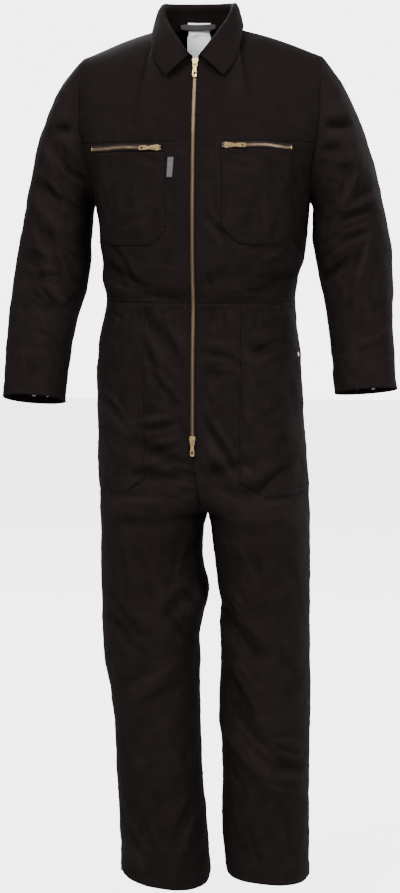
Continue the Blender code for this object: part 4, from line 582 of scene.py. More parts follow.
# between armhole and arm: a cubic that leaves the armhole outwards, less so at the underarm
def sleevePlain(side, turn, s):
    turn, s = np.broadcast_arrays(np.asarray(turn, float), np.asarray(s, float))
    top = sleeveRows["z"][0]
    start, end = armhole(side, turn), sleeveRing(side, turn, top)
    below = sleeveRing(side, turn, top - 0.01)
    length = np.linalg.norm(end - start, axis=-1, keepdims=True)
    angle = 2 * math.pi * turn
    (out, down), (underOut, underDown) = capCut[side], capCut["underarm"]
    low = 0.5 + 0.5 * np.cos(angle)
    leaving = unit(stack(side * (out + (underOut - out) * low), -capCut["spread"] * np.sin(angle),
                         -down + (down - underDown) * low))
    cap = between(start, leaving * length, end, unit(below - end) * length, np.clip(s, 0, 1)[..., None])
    arm = sleeveRing(side, turn, top + (cuffCut[side]["z"] - top) * np.clip(s - 1, 0, 1))
    return np.where((s < 1)[..., None], cap, arm)


# the sleeve with its creases, which point away from the middles of its rings
def sleeveSurface(side):
    around = np.arange(48) / 48

    def surface(turn, s):
        turn, s = np.broadcast_arrays(np.asarray(turn, float), np.asarray(s, float))
        points = sleevePlain(side, turn, s)
        levels = np.linspace(0, 2, 81)
        spines = sleevePlain(side, around[None, :], levels[:, None]).mean(axis=1)
        spine = np.stack([np.interp(s, levels, spines[:, k]) for k in range(3)], axis=-1)
        outward = unit((points - spine) * np.array([1, 1, 0.3]))
        fade = ease(np.linalg.norm(spine - spines[0], axis=-1) / 0.030)
        points = creased(points, outward, sleeveCreases[side, -1], sleeveCreases[side, 1], fade)
        return points + outward * (fineHeight(points, "sleeve") * fade)[..., None]
    return surface


# mesh from points and faces as whole arrays, with a flat map in metres and named numbers at its points; faces
# that enclose a negative volume are turned round
def meshPiece(name, points, faces, look, flatMap=None, marks=None, body="garment"):
    mesh = bpy.data.meshes.new(name)
    points, faces = np.asarray(points, np.float32).reshape(-1, 3), np.asarray(faces, np.int32)
    size = faces.shape[1]
    corners = points[faces].astype(float)
    volume = sum(np.einsum("ij,ij->i", corners[:, 0], np.cross(corners[:, k], corners[:, k + 1])).sum()
                 for k in range(1, size - 1))
    if volume < 0 and body:
        faces = faces[:, ::-1]
    mesh.vertices.add(len(points))
    mesh.vertices.foreach_set("co", points.ravel())
    mesh.loops.add(faces.size)
    mesh.loops.foreach_set("vertex_index", faces.ravel())
    mesh.polygons.add(len(faces))
    mesh.polygons.foreach_set("loop_start", np.arange(0, faces.size, size, dtype=np.int32))
    mesh.polygons.foreach_set("use_smooth", np.ones(len(faces), bool))
    mesh.update(calc_edges=True)
    if flatMap is not None:
        layer = mesh.uv_layers.new(name="flat")
        layer.data.foreach_set("uv", np.asarray(flatMap, np.float32).reshape(-1, 2)[faces.ravel()].ravel())
    for key, values in (marks or {}).items():
        mesh.attributes.new(key, "FLOAT", "POINT").data.foreach_set("value", np.asarray(values, np.float32).ravel())
    piece = bpy.data.objects.new(name, mesh)
    scene.collection.objects.link(piece)
    mesh.materials.append(look)
    if body:
        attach(piece, body)
    return piece


# four-cornered faces between the points of a grid
def gridQuads(rows, columns, closed=False, flip=False, start=0):
    i, j = np.meshgrid(np.arange(rows - 1), np.arange(columns if closed else columns - 1), indexing="ij")
    k = (j + 1) % columns
    quads = np.stack([i * columns + j, i * columns + k, (i + 1) * columns + k, (i + 1) * columns + j], axis=-1)
    quads = quads.reshape(-1, 4) + start
    return quads[:, ::-1] if flip else quads


# outward direction: cross product of the steps along a row and down the rows
def gridNormals(grid, closed, flip):
    down = np.gradient(grid, axis=0)
    across = np.roll(grid, -1, 1) - np.roll(grid, 1, 1) if closed else np.gradient(grid, axis=1)
    return unit(np.cross(across, down)) * (-1 if flip else 1)


# lengths along the rows and down the columns, as a map on which the cloth lies flat
def flatMapOf(grid):
    u, v = totalOf(stepsOf(grid, 1), 1), totalOf(stepsOf(grid, 0), 0)
    return np.stack([u, v.mean(axis=1, keepdims=True) + 0 * v], axis=-1)


# distance in metres of each point to the nearest border of its grid
def borderDistance(grid, closed):
    flat = flatMapOf(grid)
    u, v = flat[..., 0], flat[..., 1]
    distance = np.minimum(v, v[-1:] - v)
    return distance if closed else np.minimum(distance, np.minimum(u, u[:, -1:] - u))


# height in millimetres of each point over the same grid averaged again and again with its neighbours
def crown(grid, outward, closed, rounds=16):
    soft = grid
    for _ in range(rounds):
        soft = np.concatenate([soft[:1], (soft[:-2] + 2 * soft[1:-1] + soft[2:]) / 4, soft[-1:]])
        if closed:
            soft = (np.roll(soft, 1, 1) + 2 * soft + np.roll(soft, -1, 1)) / 4
        else:
            inside = (soft[:, :-2] + 2 * soft[:, 1:-1] + soft[:, 2:]) / 4
            soft = np.concatenate([soft[:, :1], inside, soft[:, -1:]], axis=1)
    return np.sum((grid - soft) * outward, axis=-1) * 1000


# thin cloth: the grid raised by low, a copy set inwards by the wall, and rims between them; its flat map starts
# at the first column, or at the last
def clothPiece(name, grid, look, node=None, closed=False, flip=False, wall=cut["wall"], low=0.0,
               slot="black_twill", fromEnd=False):
    outward = gridNormals(grid, closed, flip)
    rows, columns = grid.shape[:2]
    outer, inner = grid + outward * low, grid + outward * (low - wall)
    count = rows * columns
    across, down = np.arange(columns), np.arange(rows) * columns
    lines = [(across, False), (across + (rows - 1) * columns, True)]
    lines += [] if closed else [(down, True), (down + columns - 1, False)]
    rims = []
    for k, (line, turned) in enumerate(lines):
        begin, ends = (line, np.roll(line, -1)) if closed and k < 2 else (line[:-1], line[1:])
        rim = np.stack([begin, begin + count, ends + count, ends], axis=-1)
        rims.append(rim[:, ::-1] if turned else rim)
    quads = np.concatenate([gridQuads(rows, columns, closed), gridQuads(rows, columns, closed, True, count), *rims])
    flat = flatMapOf(grid)
    flat[..., 0] -= flat[:, -1:, 0] * fromEnd
    flat = np.concatenate([flat.reshape(-1, 2)] * 2)
    marks = {"border": borderDistance(grid, closed), "crown": crown(grid, outward, closed)}
    marks = {key: np.concatenate([values.ravel()] * 2) for key, values in marks.items()}
    marks["inside"] = np.repeat([0.0, 1.0], count)
    piece = meshPiece(name, np.concatenate([outer.reshape(-1, 3), inner.reshape(-1, 3)]), quads, look, flat, marks)
    if node:
        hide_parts(node)
    return piece


# prints the width and length that a piece's grid has when laid flat
def asSheet(piece, grid, closed=False):
    ring = np.concatenate([grid, grid[:, :1]], axis=1) if closed else grid
    across, down = stepsOf(ring, 1), stepsOf(grid, 0)
    area = (0.5 * (across[1:] + across[:-1])).sum(axis=1) @ down.mean(axis=1)
    length = down.sum(axis=0).mean()
    width = area / length
    print(f"  {piece.name}: {width * 1000:.0f} x {length * 1000:.0f} mm flat")


# a row for each point of a line or grid: place and outward direction
def lineWith(grid, closed=False, flip=False, low=0.0):
    outward = gridNormals(grid, closed, flip)
    return np.concatenate([grid + outward * low, outward], axis=-1)


# a cloth piece with its flat size printed, given back as the lines to sew on
def clothPanel(name, grid, look, node, closed=False, flip=False, **ways):
    asSheet(clothPiece(name, grid, look, node, closed, flip, **ways), grid, closed)
    return lineWith(grid, closed, flip, ways.get("low", 0.0))


# shares at which rows are worked out to look up where a measure falls
shareTable = np.linspace(0, 1, 400)


# even shares from the zip's edge outwards, the edge found within the first fifth of each row
def besideZip(surface, v, columns):
    table = shareTable * 0.2
    reach = np.abs(surface(table[None, :], v)[..., 0])
    index = np.clip((reach < cut["zipHalf"]).sum(axis=1, keepdims=True), 1, len(table) - 1)
    before, after = (np.take_along_axis(reach, index - k, 1) for k in (1, 0))
    part = np.clip((cut["zipHalf"] - before) / np.maximum(after - before, 1e-9), 0, 1)
    start = np.where(v > cut["zipEndZ"], table[index - 1] * (1 - part) + table[index] * part, 0)
    return start + (1 - start) * acrossEven(0, 1, columns)


# one small shape set at many places: x across, y along, z outwards
def copies(name, shape, faces, centres, along, outward, look, slot="black_twill"):
    across = unit(np.cross(along, outward))
    points = centres[:, None] + sum(shape[None, :, k, None] * axis[:, None] for k, axis in
                                    enumerate((across, along, outward)))
    faces = (faces[None] + (np.arange(len(centres)) * len(shape))[:, None, None]).reshape(-1, faces.shape[1])
    piece = meshPiece(name, points.reshape(-1, 3), faces, look)
    return piece


# stitches are long thin double pyramids; a seam has one row or two at these distances from its border
thread = {"length": 0.0029, "gap": 0.0009, "width": 0.0006, "height": 0.00028, "free": 0.002, "corner": 0.001}
seam = {"zip": [0.0086], "single": [0.0018], "waist": [0.0030], "band": [0.0060], "trouserHem": [0.0135],
        "cuffHem": [0.0145], "collarTop": [0.0020], "labelTop": [0.0022], "double": (0.0015, 0.0068),
        "felled": (0.0018, 0.0072), "pocket": (0.0016, 0.0078)}
sewn = {}


# the line at this distance from one border, measured along the cloth
def insetLine(surface, edge, distance):
    grid = np.swapaxes(surface, 0, 1) if edge in ("top", "bottom") else surface
    grid = grid[:, ::-1] if edge in ("end", "bottom") else grid
    run = totalOf(stepsOf(grid, 1), 1)
    row = np.arange(len(grid))
    i = np.clip((run < distance).sum(axis=1) - 1, 0, run.shape[1] - 2)
    t = ((distance - run[row, i]) / (run[row, i + 1] - run[row, i]))[:, None]
    return grid[row, i] * (1 - t) + grid[row, i + 1] * t


def lengthOf(line):
    return stepsOf(line, 0).sum()


# rows of a line at these lengths along it
def alongLine(line, at):
    run = totalOf(stepsOf(line, 0), 0)
    return np.stack([np.interp(at, run, line[:, k]) for k in range(line.shape[1])], axis=-1)


# places at these lengths of a line, with the directions along it, from 1 mm before and after, and outwards
def placesOn(line, at):
    here, before, after = (alongLine(line, at + step) for step in (0, -0.001, 0.001))
    return here[:, :3], unit(after[:, :3] - before[:, :3]), unit(here[:, 3:])


# rows of stitches beside borders: the border, its distances, and what stays free at the start and the end
def sew(group, line, *rows):
    for edge, distances, *free in rows:
        start, end = (*free, 0, 0)[:2]
        for distance in distances:
            row = insetLine(line, edge, distance)
            at = np.arange(start + thread["free"], lengthOf(row) - end - thread["free"],
                           thread["length"] + thread["gap"])
            sewn.setdefault(group, []).append(placesOn(row, at))


# sets an input to a number or a colour, or links a value to it
def feed(socket, value):
    if isinstance(value, Value):
        value.tree.links.new(value.socket, socket)
    else:
        socket.default_value = (*value, 1) if isinstance(value, tuple) else value


# a new node with its settings and inputs, given back as its first output
def addNode(tree, kind, inputs=(), **settings):
    node = tree.nodes.new("ShaderNode" + kind)
    for name, setting in settings.items():
        setattr(node, name, setting)
    for title, value in dict(inputs).items():
        feed(node.inputs[title], value)
    return Value(tree, node.outputs[0])


# an output of a node: signs between two of them add math nodes, brackets give its node's other outputs
class Value:
    def __init__(self, tree, socket):
        self.tree, self.socket = tree, socket

    def __getitem__(self, title):
        return Value(self.tree, self.socket.node.outputs[title])

    def calc(self, operation, *others):
        return addNode(self.tree, "Math", enumerate((self, *others)), operation=operation)

    def __add__(self, other):
        return self.calc("ADD", other)

    def __sub__(self, other):
        return self.calc("SUBTRACT", other)

    def __mul__(self, other):
        return self.calc("MULTIPLY", other)

    def __truediv__(self, other):
        return self.calc("DIVIDE", other)


# a node group; inputs without a number are vectors, all outputs are numbers
def nodeGroup(name, inputs, outputs):
    tree = bpy.data.node_groups.new(name, "ShaderNodeTree")
    for title, value in inputs.items():
        kind = "Vector" if value is None else "Float"
        socket = tree.interface.new_socket(title, in_out="INPUT", socket_type="NodeSocket" + kind)
        if value is not None:
            socket.default_value = value
    for title in outputs:
        tree.interface.new_socket(title, in_out="OUTPUT", socket_type="NodeSocketFloat")
    given = Value(tree, tree.nodes.new("NodeGroupInput").outputs[0])
    return tree, given, tree.nodes.new("NodeGroupOutput").inputs


def noise(where, scale, detail=2.0, roughness=0.5):
    return addNode(where.tree, "TexNoise", {"Vector": where, "Scale": scale, "Detail": detail, "Roughness": roughness})


# a value with its range from low to high stretched over another
def spread(value, low, high, toLow=0.0, toHigh=1.0):
    return addNode(value.tree, "MapRange", enumerate((value, low, high, toLow, toHigh)))


# a colour between two
def blend(share, first, second):
    return addNode(share.tree, "Mix", {0: share, 6: first, 7: second}, data_type="RGBA")[2]


# diagonal ribs: sine of the sum of both lengths, broken up by a slower sine along the threads
def makeTwillWeave():
    tree, given, out = nodeGroup("twillWeave", {"Map": None, "Pitch": 0.0009}, ("Height", "Tone"))
    place = addNode(tree, "SeparateXYZ", {0: given["Map"]})
    u, v = (place[k] / given["Pitch"] for k in (0, 1))
    rib = ((u + v * 0.62) * (2 * math.pi)).calc("SINE")
    warp = (v * (2 * math.pi * 1.9)).calc("SINE")
    feed(out["Height"], rib * 0.36 + warp * 0.12 + 0.5)
    feed(out["Tone"], rib * 0.25 + noise(given["Map"], 900.0, 3.0))
    return tree


# slow and quick noise together: patches where the finish is more worn
def makeUnevenTone():
    tree, given, out = nodeGroup("unevenTone", {"Place": None, "Scale": 12.0}, ("Tone",))
    slow = noise(given["Place"], given["Scale"], 3.0, 0.6)
    quick = noise(given["Place"], given["Scale"] * 9.0)
    feed(out["Tone"], spread(slow * 0.7 + quick * 0.3, 0.3, 0.7))
    return tree


# beside a border: a felled band that steps down after its width, two rows of needle hollows, and puckers
def makeSeamBand():
    tree, given, out = nodeGroup("seamBand", {"Border": 1.0, "Place": None, "Width": 0.0085}, ("Height", "Wear"))
    share = given["Border"] / given["Width"]
    hollows = []
    for at in (0.18, 0.80):
        off = (share - at) / 0.10
        hollows.append((off * off * -1.0).calc("EXPONENT"))
    pucker = (noise(given["Place"], 105.0, 1.5) - 0.5) * (share * -0.75).calc("EXPONENT")
    band = spread(share, 0.92, 1.12, 1.0, 0.0)
    feed(out["Height"], band * 0.6 - (hollows[0] + hollows[1]) * 0.35 + pucker * 2.4)
    feed(out["Wear"], (share * -5.0).calc("EXPONENT") * noise(given["Place"], 260.0))
    return tree


twillWeave, unevenTone, seamBand = makeTwillWeave(), makeUnevenTone(), makeSeamBand()


class Look:
    def __init__(self, name):
        self.material = bpy.data.materials.new(name)
        self.material.use_nodes = True
        self.tree = self.material.node_tree

    def put(self, group, **values):
        return addNode(self.tree, "Group", values, node_tree=group)

    def mark(self, name):
        return addNode(self.tree, "Attribute", attribute_name=name)["Fac"]

    def flat(self):
        return addNode(self.tree, "UVMap", uv_map="flat")

    def place(self):
        return addNode(self.tree, "TexCoord")["Object"]

    def relief(self, height, distance, **under):
        return addNode(self.tree, "Bump", {"Distance": distance, "Height": height, **under})

    def give(self, **values):
        shader = self.tree.nodes["Principled BSDF"]
        for title, value in values.items():
            feed(shader.inputs[title.replace("_", " ")], value)
        return self.material


# black cotton twill: darker in the hollows of its folds as painted shade, lighter on their ridges as painted light,
# and rubbed a little lighter along its edges
twillTone = {"hollow": (0.0022, 0.0014, 0.0014), "plain": (0.0045, 0.0029, 0.0029),
             "rubbed": (0.0118, 0.0084, 0.0084), "roughness": 0.74, "pitch": 0.0011, "band": 0.0085}


def makeTwill(name, tone):
    look = Look(name)
    weave = look.put(twillWeave, Map=look.flat(), Pitch=tone["pitch"])
    uneven = look.put(unevenTone, Place=look.place(), Scale=9.0)
    band = look.put(seamBand, Border=look.mark("border"), Place=look.place(), Width=tone["band"])
    # painted shade in the fold hollows and painted light on the ridges, set by the crown mark's height
    base = blend(spread(look.mark("crown"), -2.2, 2.4), tone["hollow"], tone["rubbed"])
    base = blend(uneven * 0.55, base, tone["plain"])
    base = blend(band["Wear"] * 0.5 + weave["Tone"] * 0.16, base, tone["rubbed"])
    rough = spread(uneven, 0, 1, tone["roughness"] - 0.06, tone["roughness"] + 0.08)
    normal = look.relief(band["Height"], 0.0007, Normal=look.relief(weave["Height"], 0.00016))
    return look.give(Base_Color=base, Roughness=rough, Normal=normal, Specular_IOR_Level=0.02)


# woven tape: fine ribs across, a plain colour with faint unevenness
def makeTape(name, colour, shade, pitch, sheen):
    look = Look(name)
    weave = look.put(twillWeave, Map=look.flat(), Pitch=pitch)
    uneven = look.put(unevenTone, Place=look.place(), Scale=40.0)
    base = blend((uneven + weave["Height"]) * 0.35, colour, shade)
    return look.give(Base_Color=base, Roughness=0.7, Sheen_Weight=sheen, Normal=look.relief(weave["Height"], 0.00012))


# worn metal: brighter where it is rubbed, darker and rougher in patches
def makeMetal(name, bright, dull, smooth, rough, scale):
    look = Look(name)
    uneven = look.put(unevenTone, Place=look.place(), Scale=scale)
    scratches = look.relief(noise(look.place(), 1400.0), 0.00004)
    return look.give(Base_Color=blend(uneven, dull, bright), Roughness=spread(uneven, 0, 1, rough, smooth),
                     Metallic=1.0, Normal=scratches)


def makeThread(name, colour, shade):
    look = Look(name)
    uneven = look.put(unevenTone, Place=look.place(), Scale=220.0)
    return look.give(Base_Color=blend(uneven, shade, colour), Roughness=0.65, Specular_IOR_Level=0.1)


twill = makeTwill("blackTwill", twillTone)
zipTape = makeTape("zipTape", (0.010, 0.009, 0.009), (0.020, 0.018, 0.018), 0.0007, 0.1)
greyTape = makeTape("greyTape", (0.042, 0.036, 0.040), (0.064, 0.056, 0.061), 0.0008, 0.0)
loopTape = makeTape("loopTape", (0.016, 0.013, 0.015), (0.030, 0.024, 0.028), 0.0008, 0.0)
whiteTape = makeTape("whiteTape", (0.95, 0.95, 0.96), (0.90, 0.89, 0.90), 0.0006, 0.25)
brass = makeMetal("brass", (0.54, 0.38, 0.19), (0.24, 0.155, 0.07), 0.24, 0.44, 160.0)
# the chain's brass is darker than the sliders' brass as painted shade for the gaps between its teeth
brassChain = makeMetal("brassChain", (0.31, 0.22, 0.135), (0.12, 0.08, 0.048), 0.34, 0.55, 400.0)
steel = makeMetal("snapSteel", (0.52, 0.51, 0.50), (0.26, 0.25, 0.25), 0.34, 0.55, 260.0)
blackThread = makeThread("blackThread", (0.0095, 0.0075, 0.0078), (0.0050, 0.0038, 0.0040))
tackThread = makeThread("tackThread", (0.0300, 0.0240, 0.0245), (0.0170, 0.0135, 0.0140))

sideName = {-1: "Right", 1: "Left"}


def nodeOf(part, side):
    return f"{part}_{sideName[side].lower()}"


print("body panels")
torso = {"rows": 86, "yokeRows": 64, "columns": 84, "backColumns": 66}
panels, surfaces, lines = {}, {}, {}
for side in (-1, 1):
    z, t = downEven(cut["yokeZ"], cut["waistZ"], torso["rows"]), downEven(1, 0, torso["yokeRows"])
    front, yoke = chestSurface(side, -1), yokeSurface(side, -1)
    surfaces["front", side] = front
    panels["front", side] = front(besideZip(front, z, torso["columns"]), z)
    panels["yoke", side] = yoke(besideZip(yoke, t, torso["columns"]), t)
    across = acrossEven(0, 1, torso["backColumns"])
    panels["back", side] = np.concatenate([yokeSurface(side, 1)(across, t), chestSurface(side, 1)(across, z)[1:]])
for side in (-1, 1):
    for part, bottom in (("front", "waist"), ("yoke", "double")):
        line = clothPanel(part + sideName[side], panels[part, side], twill, nodeOf(part, side), flip=side > 0)
        lines[part, side] = line
        sew("stitchesBody", line, ("start", seam["zip"]), ("end", seam["single"]), ("bottom", seam[bottom]))
back = np.concatenate([panels["back", -1][:, :0:-1], panels["back", 1]], axis=1)
lines["back"] = clothPanel("backCloth", back, twill, "back")
sew("stitchesBody", lines["back"], ("bottom", seam["waist"]),
    *((edge, seam["double"]) for edge in ("top", "start", "end")))

# the stitches beside the zip leave free what lies below the fly, those of the fly seam what lies above it
print("trousers")
trousers = {"rows": 280, "columns": 72, "aboveFly": 0.285, "belowFly": 0.80}
for side in (-1, 1):
    for face, word in ((-1, "front"), (1, "back")):
        surface = trouserSurface(side, face)
        z, flip = downEven(cut["waistZ"], cut["hemZ"], trousers["rows"]), side * face < 0
        share = besideZip(surface, z, trousers["columns"]) if face < 0 else acrossEven(0, 1, trousers["columns"])
        line = clothPanel("trouser" + word.capitalize() + sideName[side], surface(share, z), twill,
                          nodeOf("trouser_" + word, side), flip=flip, fromEnd=True)
        sew("stitchesTrousers", line, ("top", seam["band"]), ("bottom", seam["trouserHem"]))
        if face < 0:
            surfaces["trouserFront", side], lines["trouserFront", side] = surface, line
            sew("stitchesTrousers", line, ("start", seam["zip"], 0, trousers["belowFly"]),
                ("start", seam["single"], trousers["aboveFly"]), ("end", seam["single"]))
        else:
            sew("stitchesTrousers", line, ("start", seam["double"]), ("end", seam["felled"]))

print("sleeves")
sleeves = {"capRows": 52, "rows": 108, "columns": 126}
for side in (-1, 1):
    s = np.concatenate([np.linspace(0, 1, sleeves["capRows"], endpoint=False), np.linspace(1, 2, sleeves["rows"])])
    grid = sleeveSurface(side)(np.arange(sleeves["columns"])[None, :] / sleeves["columns"], s[:, None])
    line = clothPanel("sleeve" + sideName[side], grid, twill, nodeOf("sleeve", side), closed=True, flip=side > 0)
    lines["sleeve", side] = line
    sew("stitchesSleeves", np.concatenate([line, line[:, :1]], axis=1), ("top", seam["felled"]),
        ("bottom", seam["cuffHem"]), ("start", seam["double"]))

# collar: foot, stand, roll and fall in one column, swept round the neck; columns by angle from the front
print("collar")
collarCut = {
    "angle": [0, 22, 44, 66, 88, 104, 128, 154, 180],
    "rollX": [0.0125, 0.0235, 0.0385, 0.0545, 0.0635, 0.0638, 0.0570, 0.0320, 0.0],
    "rollY": [-0.1180, -0.1040, -0.0790, -0.0460, -0.0160, 0.0060, 0.0400, 0.0620, 0.0690],
    "rollZ": [-0.0500, -0.0335, -0.0110, 0.0155, 0.0390, 0.0470, 0.0505, 0.0520, 0.0525],
    "edgeX": [0.0505, 0.0670, 0.0760, 0.0805, 0.0815, 0.0800, 0.0700, 0.0410, 0.0],
    "edgeY": [-0.1200, -0.1040, -0.0850, -0.0550, -0.0180, 0.0080, 0.0560, 0.0840, 0.0930],
    "edgeZ": [-0.0885, -0.0690, -0.0420, -0.0170, 0.0010, 0.0055, 0.0065, 0.0055, 0.0050],
    "wall": 0.0020, "frontX": 0.0062, "tuckIn": 0.0030, "tuckDown": 0.0040, "radius": 0.0030, "hollow": 0.0015,
    "bulge": 0.0015, "lift": 0.0010, "rest": 0.0014, "waves": 0.0006, "angles": 49, "columns": 260, "rows": 60,
    "standShare": 0.42, "standFree": 0.06, "cornerFree": 0.006,
}


# cubic resampling along one axis, evenly by length
def resampled(grid, axis, count):
    grid = np.moveaxis(grid, axis, 0)
    where = totalOf(stepsOf(grid, 0).mean(axis=1), 0)
    at = np.linspace(0, where[-1], count)
    slopes = np.gradient(grid, where, axis=0)
    i = np.clip(np.searchsorted(where, at) - 1, 0, len(where) - 2)
    span = (where[i + 1] - where[i])[:, None, None]
    t = (at - where[i])[:, None, None] / span
    return np.moveaxis(between(grid[i], span * slopes[i], grid[i + 1], span * slopes[i + 1], t), 0, axis)


# points moved out of the sheets beside them until each lies at least the clearance above
def restOn(points, sheets, clearance, rounds=4, reach=0.012):
    flat = np.concatenate([sheet.reshape(-1, 6) for sheet in sheets])
    moved = points.reshape(-1, 3).copy()
    for _ in range(rounds):
        away = ((moved[:, None] - flat[None, :, :3]) ** 2).sum(-1)
        nearest = np.argmin(away, axis=-1)
        close = away[np.arange(len(moved)), nearest] < reach**2
        height = np.sum((moved - flat[nearest, :3]) * flat[nearest, 3:], axis=-1)
        moved += flat[nearest, 3:] * (np.maximum(clearance - height, 0) * close)[:, None]
    return moved.reshape(points.shape)


# one half's columns: tuck, foot, a hollow stand, the roll as four points of a bend, and a bulging fall
def collarColumns(side, angle):
    at = lambda name: through(np.degrees(angle), collarCut["angle"], collarCut[name])
    foot = neckline(side, angle) + np.array([0, 0, collarCut["lift"]])
    foot[0, 0] = side * max(side * foot[0, 0], collarCut["frontX"])
    shift = neckCut["shift"] * ease(angle / neckCut["sideAngle"])
    roll = stack(side * at("rollX") + shift, at("rollY"), at("rollZ"))
    edge = stack(side * at("edgeX") + shift, at("edgeY"), at("edgeZ"))
    out = stack(side * np.sin(angle), -np.cos(angle), 0 * angle)
    up = unit(roll - foot)
    level = np.array([1, 1, 0])
    tuck = unit(np.array([neckCut["shift"], neckCut["middleY"], 0]) - foot * level) * collarCut["tuckIn"]
    points = [foot + tuck - np.array([0, 0, collarCut["tuckDown"]]), foot + tuck * 0.5 + up * 0.001,
              foot + 0.55 * (roll - foot) - out * collarCut["hollow"]]
    for outwards, upwards in ((-1, -1), (0, 0), (1, -0.2), (1.9, -1.6)):
        points.append(roll + collarCut["radius"] * (out * outwards + up * upwards))
    last = points[-1]
    for t in (0.34, 0.67, 1.0):
        points.append(last + (edge - last) * t + out * collarCut["bulge"] * math.sin(math.pi * t))
    return np.stack(points, axis=0)


angle = np.linspace(0, math.pi, collarCut["angles"])
grid = np.concatenate([collarColumns(-1, angle), collarColumns(1, angle)[:, -2::-1]], axis=1)
# every second point of the yokes and the back beside the neck
under = [lines["yoke", side][3:44:2, :40:2] for side in (-1, 1)] + [lines["back"][3:44:2, ::2]]
grid[6:] = restOn(grid[6:], under, collarCut["rest"] + collarCut["wall"] / 2)
grid = resampled(resampled(grid, 1, collarCut["columns"]), 0, collarCut["rows"])
waves = collarCut["waves"] * ripple(grid, 0.045, 3.0) * downEven(0, 1, len(grid)) ** 2
grid = grid + gridNormals(grid, False, False) * waves[..., None]
low = collarCut["wall"] / 2
collar = clothPiece("collarCloth", grid, twill, "collar", wall=collarCut["wall"], low=low)
asSheet(collar, grid)
lines["collar"] = lineWith(grid, low=low)
corner = collarCut["cornerFree"]
sew("stitchesCollar", lines["collar"], ("bottom", seam["band"], corner, corner),
    *((edge, seam["band"], collarCut["standFree"], corner) for edge in ("start", "end")), ("top", seam["collarTop"]))

# pockets, laid on the panels by the places they have there; a mouth has its x at the top and where it ends
print("pockets")
chestPocket = {
    -1: {"inner": 0.049, "outer": 0.181, "top": -0.2235, "bottom": -0.3876, "innerCut": 0.025, "outerCut": 0.020},
    1: {"inner": 0.0515, "outer": 0.173, "top": -0.2185, "bottom": -0.3850, "innerCut": 0.030, "outerCut": 0.022},
}
hipPocket = {
    -1: {"inner": 0.0890, "bottom": -0.8300, "innerCut": 0.026, "mouth": (0.1443, 0.1765, -0.570)},
    1: {"inner": 0.0840, "bottom": -0.8350, "innerCut": 0.028, "mouth": (0.1490, 0.1765, -0.588)},
}
pocket = {"wall": 0.0011, "gap": 0.0002, "bulge": 0.0020, "waves": 0.0007, "slack": 0.0022, "corner": 0.0022,
          "hipTop": -0.4935, "sideY": -0.006, "slope": 0.125, "mouthFree": 0.245, "chestGrid": (44, 54),
          "hipGrid": (40, 108)}


# points of a surface at these x and z, found through a table of its shares at 60 levels
def placedOn(surface, x, z):
    x, z = np.broadcast_arrays(np.abs(np.asarray(x, float)), np.asarray(z, float))
    levels = np.linspace(z.min() - 1e-4, z.max() + 1e-4, 60)
    reach = np.linspace(x.min() - 1e-4, x.max() + 1e-4, 80)
    found = np.maximum.accumulate(np.abs(surface(shareTable[None, :], levels[:, None])[..., 0]), axis=1)
    shares = np.array([np.interp(reach, row, shareTable) for row in found])
    i, j = (z - levels[0]) / (levels[1] - levels[0]), (x - reach[0]) / (reach[1] - reach[0])
    i0, j0 = (np.clip(k.astype(int), 0, count - 2) for k, count in ((i, len(levels)), (j, len(reach))))
    a, b = i - i0, j - j0
    share = ((shares[i0, j0] * (1 - b) + shares[i0, j0 + 1] * b) * (1 - a)
             + (shares[i0 + 1, j0] * (1 - b) + shares[i0 + 1, j0 + 1] * b) * a)
    return surface(share, z)


# a pocket lies close at its sewn edges and stands off in its middle: 1 - exp(-(distance / 20 mm)^1.4)
def pocketPiece(part, side, grid, slack=0.0):
    away = borderDistance(grid, False)
    height = pocket["bulge"] * (1 - np.exp(-((away / 0.020) ** 1.4)))
    height += pocket["waves"] * ripple(grid, 0.055, 4.0) * ease(away / 0.02) + slack
    grid = grid + gridNormals(grid, False, side > 0) * (pocket["gap"] + pocket["wall"] + height)[..., None]
    return clothPanel(part + "Pocket" + sideName[side], grid, twill, nodeOf(part + "_pocket", side), flip=side > 0,
                      wall=pocket["wall"])


# height of a pocket's lower edge: the lift where it is above 0, with a round bend before it
def lowerEdge(bottom, lift):
    return bottom + np.log1p(np.exp(lift / pocket["corner"])) * pocket["corner"]


